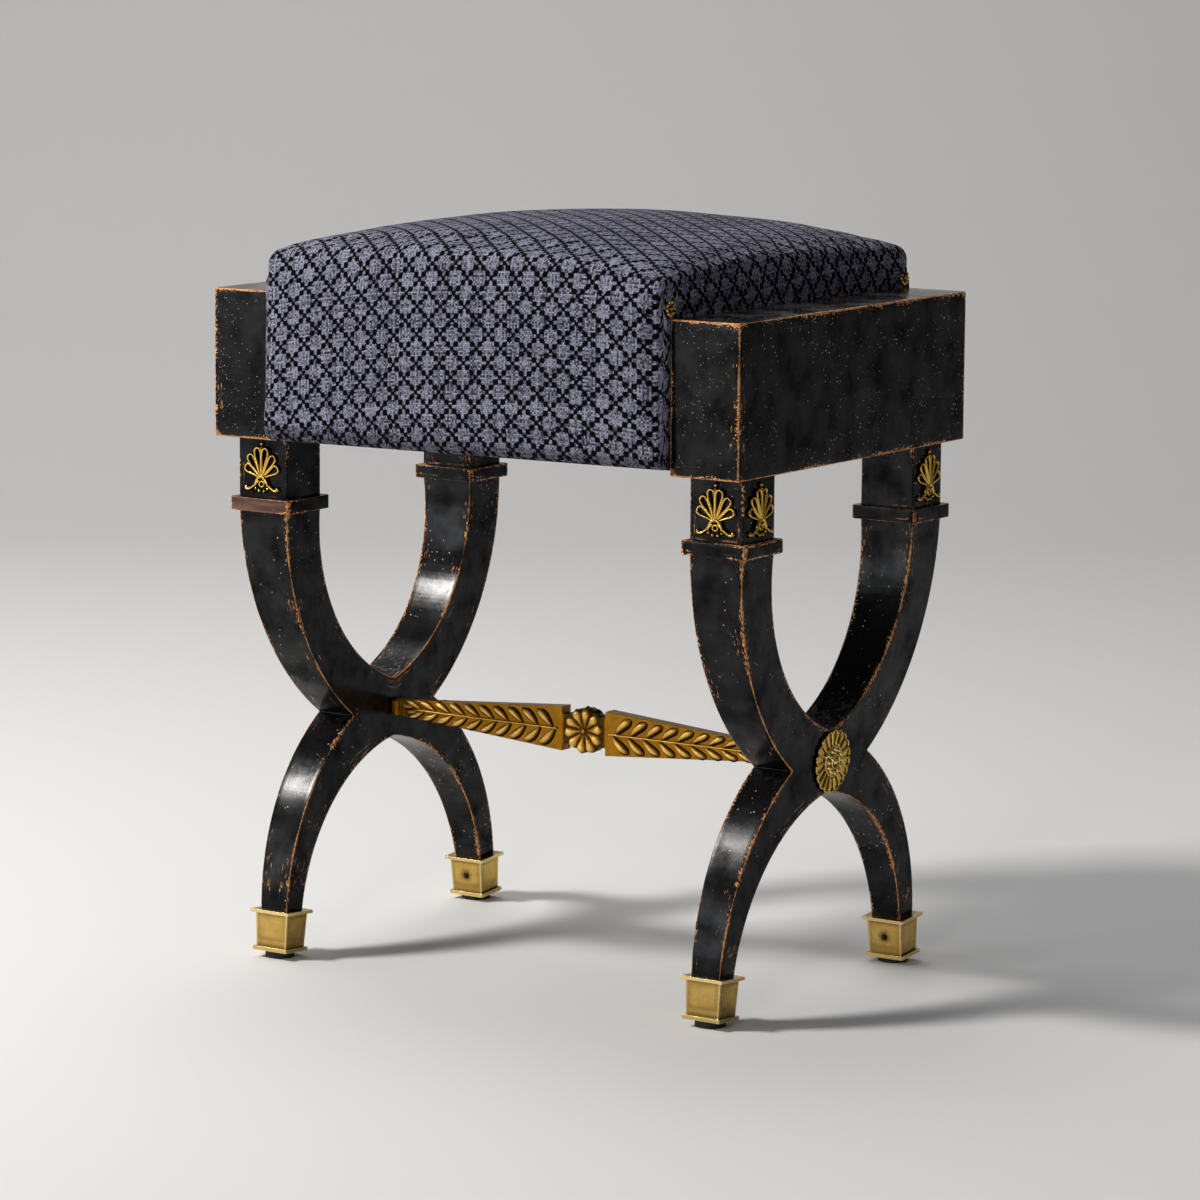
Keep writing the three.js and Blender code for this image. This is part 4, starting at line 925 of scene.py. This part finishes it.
# Painted shade where the relief is low, at the leaves' feet, in their grooves and on the middle block;
# painted highlight, partly burnishing, where it is high
hollow = add_node(tree, "MapRange", {"Value": relief, "From Min": 0.0, "From Max": 0.3})
proud = add_node(tree, "MapRange", {"Value": relief, "From Min": 0.45, "From Max": 0.85})
ground = add_node(tree, "Mix", {"Factor": cloud, "A": linear("#6e430a"), "B": linear("#c48a1a")},
                  data_type="RGBA", out="Result")
tone = add_node(tree, "Mix", {"Factor": cloud, "A": linear("#eaa62a"), "B": linear("#ffe08a")},
                data_type="RGBA", out="Result")
shaded = add_node(tree, "Mix", {"Factor": hollow, "A": linear("#170b02"), "B": ground},
                  data_type="RGBA", out="Result")
colour = add_node(tree, "Mix", {"Factor": proud, "A": shaded, "B": tone},
                  data_type="RGBA", out="Result")
bump = add_node(tree, "Bump", {"Height": dimple, "Strength": 0.8, "Distance": 0.9 * MM})
rough = add_node(tree, "MapRange", {"Value": cloud, "To Min": 0.24, "To Max": 0.42})
shader = add_node(tree, "BsdfPrincipled", {"Base Color": colour, "Metallic": 0.92, "Roughness": rough,
                                           "Normal": bump})
add_node(tree, "OutputMaterial", {"Surface": shader})

mesh = stretcher_body()
for facing in (0, math.pi):
    carving = carved_face()
    for vert in carving.verts:
        # X along, Y up and Z out become the stool's X, Z and -Y, on the tapering face
        x, up, out = vert.co
        if abs(x) > taper_start:
            depth = tapered_half(x, stretcher_half_depth, stretcher_end_half_depth)
        else:
            depth = stretcher_half_depth - flower_inset
        vert.co = (x, -depth - out, up)
    carving.transform(Matrix.Rotation(facing, 4, "Z"))
    join_mesh(mesh, carving)
mesh.transform(Matrix.Translation((0, 0, crossing_height)))
add_piece("stretcher_carved", mesh, gilding, ["stretcher"])


# Seat frame, blocks and webbing. Two beech rails are tenoned into the end rails, with a
# batten and two glued blocks at each end, and jute webbing is strained across from above.
# All of it is covered in use.
def plain_finish(name, low, high, size, stretch, roughness, strength):
    """A dull surface without a coat: two tones mixed by its grain, with a slight bump."""
    material, tree = new_material(name)
    place = add_node(tree, "TexCoord", out="Object")
    stretched = add_node(tree, "Mapping", {"Vector": place, "Scale": stretch})
    grain = add_node(tree, "TexNoise", {"Vector": stretched, "Scale": per_mm(size), "Detail": 5}, out="Fac")
    colour = add_node(tree, "Mix", {"Factor": grain, "A": linear(low), "B": linear(high)},
                      data_type="RGBA", out="Result")
    bump = add_node(tree, "Bump", {"Height": grain, "Strength": strength, "Distance": 0.3 * MM})
    shader = add_node(tree, "BsdfPrincipled", {"Base Color": colour, "Roughness": roughness, "Normal": bump})
    add_node(tree, "OutputMaterial", {"Surface": shader})
    return material


# Planed beech is pale, dry and finely grained. Jute webbing is fawn, matt and hairy. The
# screws are of the same brass as the shoes. Pores and threads under half a millimetre are
# drawn coarser, to show.
beech = plain_finish("planed_beech", "#8a6740", "#c19a68", 2, (0.06, 1, 1), 0.7, 0.3)
jute = plain_finish("jute_webbing", "#7c6a45", "#b59c6c", 1.2, (1, 1, 1), 0.9, 0.5)
for word, finish in (("batten", beech), ("block", beech), ("strap", jute), ("base_cloth", jute),
                     ("screw", shoe_brass)):
    for name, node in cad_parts.items():
        if word in name:
            node.data.materials.clear()
            node.data.materials.append(finish)

# The long rails' lower outer arrises are rounded off, where the cloth turns under them.
# Their undersides follow the hem, which rises a little toward the front right.
turn_under = 9.6 * MM
turn_steps = 6
hem_gap, hem_rise = 0.4 * MM, 3.2 * MM
cover_low, cover_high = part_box("seat_cover")
half_x, half_y = cover_high.x, cover_high.y


def hem_height(x, y):
    """Height of the cover's lowest line at a place."""
    return cover_low.z + hem_gap + hem_rise * (1 + x / half_x) / 2 * (1 - y / half_y) / 2


for name in ("front_seat_rail", "back_seat_rail"):
    mesh = cad_form(name)
    low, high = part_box(name)
    outer_y = max(abs(low.y), abs(high.y))
    for i in range(1, turn_steps + 1):
        cut_mesh(mesh, (0, 0, low.z + turn_under * (1 - math.cos(math.pi / 2 * i / turn_steps))), 2)
    for vert in mesh.verts:
        below = min(max(low.z + turn_under - vert.co.z, 0), turn_under)
        reach = outer_y - turn_under + math.sqrt(turn_under ** 2 - below ** 2)
        vert.co.y = math.copysign(min(abs(vert.co.y), reach), vert.co.y)
        share = (high.z - vert.co.z) / (high.z - low.z)
        vert.co.z += (hem_height(vert.co.x, vert.co.y) + clearance - cover_low.z) * share
    for face in mesh.faces:
        face.smooth = True
    add_piece(name + "_rounded", mesh, beech, [name])


# Seat. A stuffed pad crowned over the seat rails, covered in a woven cloth drawn down tight
# and tacked under the rails, with folded corners. The cloth is a slate-blue tabby with a
# black trellis of knots and short floats.
front_draw_in = 1.8 * MM
top_half_y = half_y - front_draw_in
end_round, front_round = 5 * MM, 11 * MM
hem_round = 9 * MM
corner_height = 476.3 * MM
front_rise = 11 * MM
end_rise = 6 * MM
centre_rise = 4 * MM
crown_power = 2.3
cloth_step = 3 * MM
edge_steps = 5
hem_steps = 6
wall_steps = 34
stuffing_lumps, lump_size = 0.9 * MM, 55 * MM
left_bulge = 5.6 * MM  # of the folded cloth past the rails' inner faces at the corners
front_right_bulge = 1.9 * MM
back_right_bulge = 6 * MM
bulge_over_face = (0.8 * MM, 4 * MM)  # off the rails' faces and tops: where it starts, and is full
bulge_over_top = (1 * MM, 12 * MM)
bulge_corner, bulge_least, bulge_power = 80 * MM, 0.3, 8
stuffing_frames, stuffing_pressure = 20, 4
puff_cap = 2.2 * MM
puff_over_rail = 10 * MM
puff_past_face = 3 * MM
cloth_layers = ("cloth_across", "cloth_along", "cloth_fall")


def edge_rows(half, rounding):
    """Places across the seat: close together over each rounded edge, even between them."""
    inner = half - rounding
    count = int(2 * inner / cloth_step)
    edge = [inner + rounding * math.sin(math.pi / 2 * (1 - i / edge_steps)) for i in range(edge_steps)]
    return edge + [inner * (1 - 2 * i / count) for i in range(count + 1)] + [-v for v in reversed(edge)]


def seat_form():
    """The covered seat's outside as a closed block. Its points know their place on the
    flat cloth: across it, along it, and how far down a side they hang."""
    mesh = bmesh.new()
    flat = [noted(mesh, name) for name in cloth_layers]

    # The crowned top. At its corners, where both edges fall, their roundings are mixed.
    grid = []
    for y in edge_rows(top_half_y, front_round):
        line = []
        for x in edge_rows(half_x, end_round):
            over_x = max(0, abs(x) - half_x + end_round) / end_round
            over_y = max(0, abs(y) - top_half_y + front_round) / front_round
            over = max(over_x, over_y)
            trim = over / math.hypot(over_x, over_y) if over_x and over_y else 1
            px = math.copysign(abs(x) - over_x * end_round * (1 - trim), x)
            py = math.copysign(abs(y) - over_y * front_round * (1 - trim), y)
            fall_x = min(abs(x / half_x), 1) ** crown_power
            fall_y = min(abs(y / top_half_y), 1) ** crown_power
            crown = (front_rise * (1 - fall_x) + end_rise * (1 - fall_y)
                     + centre_rise * (1 - fall_x) * (1 - fall_y))
            weights = over_x ** 2, over_y ** 2
            mixed = (end_round * weights[0] + front_round * weights[1]) / max(sum(weights), 1e-9)
            drop = mixed * (1 - math.sqrt(max(0, 1 - over ** 2)))
            lump = stuffing_lumps * noise.noise(Vector((px, py, 0)) / lump_size) * (1 - over)
            vert = mesh.verts.new((px, py, corner_height + crown - drop + lump))
            vert[flat[0]] = math.copysign(abs(x) - over_x * end_round + end_round * math.asin(over_x), x)
            vert[flat[1]] = math.copysign(abs(y) - over_y * front_round + front_round * math.asin(over_y), y)
            line.append(vert)
        grid.append(line)
    for line, after in zip(grid, grid[1:]):
        for i in range(len(line) - 1):
            mesh.faces.new((line[i], after[i], after[i + 1], line[i + 1]))

    # The four sides hang from its rim and turn under the rails in a quarter round
    rim = (grid[0] + [line[-1] for line in grid[1:]] + list(reversed(grid[-1][:-1]))
           + [line[0] for line in reversed(grid[1:-1])])
    walls = [(level / wall_steps, 0, 0) for level in range(1, wall_steps + 1)]
    for i in range(1, hem_steps + 1):
        angle = math.pi / 2 * i / hem_steps
        walls.append((1, math.sin(angle), 1 - math.cos(angle)))
    rings = [rim]
    for share, down, inward in walls:
        ring = []
        for vert in rim:
            on_front = smooth_step(abs(vert.co.y), top_half_y - front_round, top_half_y)
            hem = hem_height(vert.co.x, vert.co.y)
            z = vert.co.z + (hem + hem_round - vert.co.z) * share - hem_round * down
            outward = front_draw_in * share - hem_round * inward * on_front
            y = vert.co.y + math.copysign(1, vert.co.y) * outward
            made = mesh.verts.new((vert.co.x, y, z))
            made[flat[0]], made[flat[1]] = vert[flat[0]], vert[flat[1]]
            made[flat[2]] = vert.co.z - z
            ring.append(made)
        rings.append(ring)
    join_rows(mesh, rings, around=True)
    mesh.faces.new(rings[-1])

    # The folded corners and the top bulge out over the end rails
    for vert in mesh.verts:
        x, y, z = vert.co
        over_face = smooth_step(abs(y) - rail_high.y, *bulge_over_face)
        over_top = smooth_step(z - rail_high.z, *bulge_over_top)
        toward_corner = bulge_least + (1 - bulge_least) * smooth_step(abs(y), bulge_corner, rail_high.y)
        reach = max(over_face, over_top * toward_corner) * (abs(x) / half_x) ** bulge_power
        right_bulge = front_right_bulge if y < 0 else back_right_bulge
        vert.co.x += reach * right_bulge if x > 0 else -reach * left_bulge
    bmesh.ops.recalc_face_normals(mesh, faces=mesh.faces)
    return mesh


def apply_modifiers(piece):
    """Turns an object's modifiers into its mesh."""
    shown = piece.evaluated_get(bpy.context.evaluated_depsgraph_get())
    made = bpy.data.meshes.new_from_object(shown)
    old = piece.data
    piece.modifiers.clear()
    piece.data = made
    bpy.data.meshes.remove(old)


def stuff(piece):
    """Swells the covered seat a little as cloth under pressure, held at the rails and the hem."""
    rest = np.array([vert.co for vert in piece.data.vertices])
    free = np.array([
        smooth_step(z, cover_low.z + hem_round, cover_low.z + 3 * hem_round)
        * max(smooth_step(z, rail_high.z, rail_high.z + puff_over_rail),
              abs(y) > rail_high.y + puff_past_face)
        for x, y, z in rest
    ])
    held = piece.vertex_groups.new(name="held")
    for index in np.flatnonzero(free < 0.5):
        held.add([int(index)], 1, "REPLACE")
    cloth = piece.modifiers.new("stuffing", "CLOTH")
    cloth.settings.quality = 5
    cloth.settings.use_pressure = True
    cloth.settings.uniform_pressure_force = stuffing_pressure
    cloth.settings.vertex_group_mass = "held"
    cloth.settings.effector_weights.gravity = 0
    for step in range(1, stuffing_frames + 1):
        scene.frame_set(step)
    apply_modifiers(piece)
    moved = np.array([vert.co for vert in piece.data.vertices]) - rest
    length = np.linalg.norm(moved, axis=1)
    share = np.minimum(1, puff_cap / np.maximum(length, 1e-9)) * free
    piece.data.vertices.foreach_set("co", (rest + moved * share[:, None]).ravel())
    scene.frame_set(1)


# The cloth was laid a few degrees out of true and pulled tighter toward the left end, so
# the trellis leans a little and its diamonds crowd there.
trellis_period = 20 * MM
laid_stretch = 1.075
laid_slant = 0.078
laid_dip = 10.7 * MM  # both of these at a distance of pull_reach from the middle
laid_crowding = 6.9 * MM
pull_reach = 150 * MM
laid_start = (-15.9 * MM, 3.9 * MM)
front_rim = top_half_y - front_round + front_round * math.pi / 2  # on the flat cloth


def laid_place(across, along):
    """Place in the trellis, in periods, of a place on the cloth."""
    off_middle = across / pull_reach
    behind = max(along + front_rim, 0)
    u = laid_stretch * across - laid_crowding * off_middle ** 2 + laid_slant * behind
    v = laid_stretch * along - laid_dip * off_middle
    return (Vector((u, v)) + Vector(laid_start)) / trellis_period


def lay_trellis(piece):
    """Writes each corner's place in the trellis. The cloth parts at the upright corners."""
    mesh = bmesh.new()
    mesh.from_mesh(piece.data)
    weave = mesh.loops.layers.uv.new("weave")
    flat = [noted(mesh, name) for name in cloth_layers]
    for face in mesh.faces:
        face.smooth = True
        on_end = abs(face.normal.x) > abs(face.normal.y)
        for loop in face.loops:
            across, along, fall = [loop.vert[layer] for layer in flat]
            if on_end:
                across += math.copysign(fall, across)
            else:
                along += math.copysign(fall, along)
            loop[weave].uv = laid_place(across, along)
    for layer in flat:
        mesh.verts.layers.float.remove(layer)
    mesh.to_mesh(piece.data)
    mesh.free()


cover = new_object("seat_cover_cloth", seat_form())
stuff(cover)
lay_trellis(cover)


# Worsted tabby: slate-blue and grey threads, each a little lighter or darker than the next,
# with a black trellis of knots and floats woven in. Dull, with a slight sheen at the edges.
trellis_cloth, tree = new_material("trellis_tabby")
place = add_node(tree, "UVMap", uv_map="weave")
solid = add_node(tree, "TexCoord", out="Object")

# The threads wander by a millimetre or two
pull = add_node(tree, "TexNoise", {"Vector": solid, "Scale": per_mm(110), "Detail": 1}, out="Color")
pull = add_node(tree, "VectorMath", [pull, (0.5, 0.5, 0.5)], operation="SUBTRACT")
pull = add_node(tree, "VectorMath", {0: pull, "Scale": 0.22}, operation="SCALE")
place = add_node(tree, "VectorMath", [place, pull], operation="ADD")
u = add_node(tree, "SeparateXYZ", [place], out="X")
v = u.node.outputs["Y"]

# Black knots, along the diagonals of both lattices: how far off the crossing each one lies
# and its half sizes, in periods
knots = (
    (0.0, (0.068, 0.074)),
    (0.078, (0.028, 0.034)),
    (0.158, (0.092, 0.090)),
    (0.250, (0.030, 0.036)),
)
dark = 9  # farther off than any knot
for shift in (0.0, 0.5):
    offsets = []
    for way in (u, v):
        moved = add_node(tree, "Math", [way, shift], operation="ADD")
        part = add_node(tree, "Math", [moved], operation="FRACT")
        off = add_node(tree, "Math", [part, 0.5], operation="SUBTRACT")
        offsets.append(add_node(tree, "Math", [off], operation="ABSOLUTE"))
    for at, half_sizes in knots:
        near = []
        for offset, half_size in zip(offsets, half_sizes):
            off = add_node(tree, "Math", [offset, at], operation="SUBTRACT")
            off = add_node(tree, "Math", [off], operation="ABSOLUTE")
            near.append(add_node(tree, "Math", [off, half_size], operation="DIVIDE"))
        most = add_node(tree, "Math", near, operation="MAXIMUM")
        least = add_node(tree, "Math", near, operation="MINIMUM")
        reach = add_node(tree, "Math", [least, 0.25, most], operation="MULTIPLY_ADD")
        dark = add_node(tree, "Math", [dark, reach], operation="MINIMUM")
ragged = add_node(tree, "TexNoise", {"Vector": solid, "Scale": per_mm(1.3), "Detail": 2}, out="Fac")
dark = add_node(tree, "Math", [ragged, 0.5, dark], operation="MULTIPLY_ADD")
line = add_node(tree, "MapRange", [dark, 1.55, 1.30])

# The real threads lie half a millimetre apart. They are drawn coarser, to show.
threads_per_period = 15
numbers, shades, edges = [], [], []
for way in (u, v):
    thread = add_node(tree, "Math", [way, threads_per_period], operation="MULTIPLY")
    numbers.append(add_node(tree, "Math", [thread], operation="FLOOR"))
    shades.append(add_node(tree, "TexWhiteNoise", {"W": numbers[-1]}, noise_dimensions="1D"))
    part = add_node(tree, "Math", [thread], operation="FRACT")
    off = add_node(tree, "Math", [part, 0.5], operation="SUBTRACT")
    edges.append(add_node(tree, "Math", [off], operation="ABSOLUTE"))
over = add_node(tree, "Math", numbers, operation="ADD")
over = add_node(tree, "Math", [over], operation="ABSOLUTE")
over = add_node(tree, "Math", [over, 2], operation="MODULO")
cell = add_node(tree, "CombineXYZ", numbers)
spot = add_node(tree, "TexWhiteNoise", {"Vector": cell}, noise_dimensions="3D")
run = add_node(tree, "Mix", {"Factor": over, "A": shades[0], "B": shades[1]},
               out="Result", data_type="FLOAT")
tone = add_node(tree, "Math", [run, spot], operation="ADD")
lit = add_node(tree, "MapRange", [tone, 0.4, 1.6])
gap = add_node(tree, "Math", edges, operation="MAXIMUM")
gap = add_node(tree, "MapRange", [gap, 0.3, 0.5])
shaded = add_node(tree, "Math", [gap, 0.55], operation="MULTIPLY")
black = add_node(tree, "Mix", {"Factor": spot, "A": linear("#010104"), "B": linear("#05050b")},
                 out="Result", data_type="RGBA")

# The hem, where the cloth turns under, is in its own shade
height = add_node(tree, "SeparateXYZ", [solid], out="Z")
turned = add_node(tree, "MapRange", [height, cover_low.z + 15 * MM, cover_low.z + 9 * MM, 0, 0.5])
colour = linear("#2e2e3b")
for factor, other in ((lit, linear("#a5a4b8")), (shaded, linear("#1a1a22")), (line, black),
                      (turned, linear("#08080d"))):
    colour = add_node(tree, "Mix", {"Factor": factor, "A": colour, "B": other},
                      out="Result", data_type="RGBA")
raised = add_node(tree, "Math", [tone, 0.15], operation="MULTIPLY")
raised = add_node(tree, "Math", [line, 0.8, raised], operation="MULTIPLY_ADD")
raised = add_node(tree, "Math", [raised, gap], operation="SUBTRACT")
bump = add_node(tree, "Bump", {"Height": raised, "Strength": 0.5, "Distance": 0.4 * MM})
shader = add_node(tree, "BsdfPrincipled", {
    "Base Color": colour, "Roughness": 0.85, "Normal": bump, "Specular IOR Level": 0.05,
    "Sheen Weight": 0.02, "Sheen Roughness": 0.4, "Sheen Tint": linear("#9a9ab4"),
})
add_node(tree, "OutputMaterial", {"Surface": shader})

cover.data.materials.append(trellis_cloth)
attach(cover, "root")
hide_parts("seat_cover", "seat_pad")


# Dust cover. A square of black lining cloth is stretched under the seat, its edges turned
# in, and held by blued tacks over the turned-under edges of the cover. It sags a little.
lining_margin = (14 * MM, 13 * MM)
lining_sag = 2.2 * MM
lining_ripple, ripple_size = 0.15 * MM, 9 * MM
lining_thickness = 0.5 * MM
lining_steps = 24
half_sheet = Vector((half_x - lining_margin[0], half_y - lining_margin[1]))

# Cotton lining, dyed black: flat and without sheen, with the grain of its plain weave
# drawn at twice its real 0.4 mm, to show
lining = plain_finish("black_lining_cloth", "#0d0d0f", "#1c1c1f", 0.8, (1, 1, 1), 0.95, 0.4)

mesh = bmesh.new()
rows = []
for i in range(lining_steps + 1):
    row = []
    for k in range(lining_steps + 1):
        a, b = 2 * i / lining_steps - 1, 2 * k / lining_steps - 1
        x, y = a * half_sheet.x, b * half_sheet.y
        ripple = lining_ripple * noise.noise(Vector((x, y, 0)) / ripple_size)
        sag = lining_sag * (1 - a * a) * (1 - b * b) + ripple
        row.append(mesh.verts.new((x, y, hem_height(x, y) - sag)))
    rows.append(row)
join_rows(mesh, rows)
dust_cover = new_object("stretched_dust_cover", mesh)
dust_cover.data.materials.append(lining)
thick = dust_cover.modifiers.new("cloth_thickness", "SOLIDIFY")
thick.thickness = lining_thickness
thick.offset = 0
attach(dust_cover, "root")
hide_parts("dust_cover")

# Blued steel tacks: small domed heads of a dark blue-grey that shines a little
tack_pitch = 24 * MM
tack_radius, tack_rise = 2.4 * MM, 1.0 * MM
tack_inset = 4 * MM
tack_clearance = 0.1 * MM
tack_places = []
for axis in (0, 1):
    along, off = half_sheet[axis] - tack_inset, half_sheet[1 - axis] - tack_inset
    count = round(2 * along / tack_pitch)
    for i in range(count + (axis == 0)):
        for side in (-1, 1):
            place = Vector((0, 0))
            place[axis] = -along + 2 * along * (i + 0.5 * axis) / count
            place[1 - axis] = side * off
            tack_places.append(place)
mesh = bmesh.new()
for place in tack_places:
    tack = bmesh.new()
    add_bead(tack, 0, 0, tack_radius, tack_rise)
    underside = hem_height(*place) - lining_thickness / 2 - tack_clearance
    tack.transform(Matrix.Translation((place.x, place.y, underside)) @ Matrix.Rotation(math.pi, 4, "X"))
    join_mesh(mesh, tack)
steel = plain_finish("blued_steel", "#16171b", "#2d2f36", 1.5, (1, 1, 1), 0.4, 0.15)
add_piece("dust_cover_tacks", smooth_outward(mesh), steel)


# Daisy nails. One brass-headed nail, cast with nine petals round a bead, is driven through
# the cover at each end of the seat's front and back edges, just above the end rail.
daisy_petals = 9
daisy_eye, daisy_reach = 1.2 * MM, 5.5 * MM
# The petals' relief is raised by the last of these, so that less of each petal takes painted shade: a
# painted lift for nails that sit in shade
daisy_petal_half, daisy_petal_rise, daisy_shade_lift = 1.7 * MM, 2.0 * MM, 1.3
nail_surround = 7 * MM
nail_stand_off = 0.2 * MM
for name in named("_daisy_nail"):
    low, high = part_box(name)
    middle = (low + high) / 2
    sign = math.copysign(1, middle.x)
    mesh = bmesh.new()
    for spoke in spokes(daisy_petals):
        add_dome(mesh, spoke * daisy_eye, spoke * daisy_reach,
                 [daisy_petal_half * share for share in petal_width_shares],
                 [daisy_petal_rise * share for share in petal_rise_shares], sink=0, tone=daisy_shade_lift)
    add_bead(mesh, 0, 0, eye_radius, eye_rise)
    near = [abs(vert.co.x) for vert in cover.data.vertices
            if vert.co.x * sign > 0 and (vert.co.yz - middle.yz).length < nail_surround]
    out = sum(near) / len(near) + nail_stand_off
    smooth_outward(mesh).transform(Matrix.Translation((sign * out, middle.y, middle.z))
                                   @ Matrix.Rotation(sign * quarter_turn, 4, "Y"))
    add_piece(name + "_petals", mesh, mount_brass, [name])


# Studio. A sheet of pale paper lies under the stool and runs up behind it in one soft bend,
# lit by lamps with softening screens, most of it from the left and from above.
floor_half = 6.0
backdrop_distance = 3.2
backdrop_height = 4.5
bend_radius = 1.2
bend_step = 10  # degrees
away = Vector((-toward_camera.x, -toward_camera.y, 0)).normalized()
side_way = Vector((away.y, -away.x, 0))
profile = [(-floor_half, 0), (backdrop_distance - bend_radius, 0)]
for angle in range(bend_step, 90 + 1, bend_step):
    turned = math.radians(angle)
    profile.append((backdrop_distance - bend_radius + bend_radius * math.sin(turned),
                    bend_radius - bend_radius * math.cos(turned)))
profile.append((backdrop_distance, backdrop_height))
mesh = bmesh.new()
join_rows(mesh, [[mesh.verts.new(away * run + side_way * side * floor_half + Vector((0, 0, rise)))
                  for side in (-1, 1)] for run, rise in profile])
floor = new_object("floor", smooth_outward(mesh))

# Uncoated paper: warm white and matt, so that it shows only the stool's shadow
paper, tree = new_material("pale_backdrop_paper")
shader = add_node(tree, "BsdfPrincipled", {"Base Color": linear("#e4e3e1"), "Roughness": 0.9})
add_node(tree, "OutputMaterial", {"Surface": shader})
floor.data.materials.append(paper)


def add_lamp(name, place, aim_height, size, power, colour):
    """A square soft lamp that looks at a height over the stool's middle."""
    lamp_data = bpy.data.lights.new(name, "AREA")
    lamp_data.shape = "SQUARE"
    lamp_data.size = size
    lamp_data.energy = power
    lamp_data.color = colour
    lamp = bpy.data.objects.new(name, lamp_data)
    scene.collection.objects.link(lamp)
    lamp.location = place
    aim = Vector((0, 0, aim_height)) - Vector(place)
    lamp.rotation_euler = aim.to_track_quat("-Z", "Y").to_euler()


# The key lamp throws the shadow to the right and lays the bright bands on the legs' curves.
# The fill opens the front faces, the top lamp the crown of the seat, and the small lamp in
# front gives the brass its glints.
add_lamp("key", (-1.5, -1.25, 1.95), 0.25, 0.45, 58, (1, 0.98, 0.95))
add_lamp("fill", (-1.7, -2.6, 0.8), 0.2, 1.3, 14, (0.93, 0.97, 1))
add_lamp("top", (-0.9, 0.7, 2.7), 0.3, 1.6, 24, (1, 1, 1))
add_lamp("front", (1.0, -3.0, 1.4), 0.2, 0.4, 10, (1, 0.99, 0.97))

# Dim cool light from all round, as a pale room gives back
world = bpy.data.worlds.new("world")
world.use_nodes = True
tree = world.node_tree
tree.nodes.clear()
room_light = add_node(tree, "Background", {"Color": linear("#f4f6ff"), "Strength": 0.13})
add_node(tree, "OutputWorld", {"Surface": room_light})
scene.world = world
scene.view_settings.view_transform = "Standard"
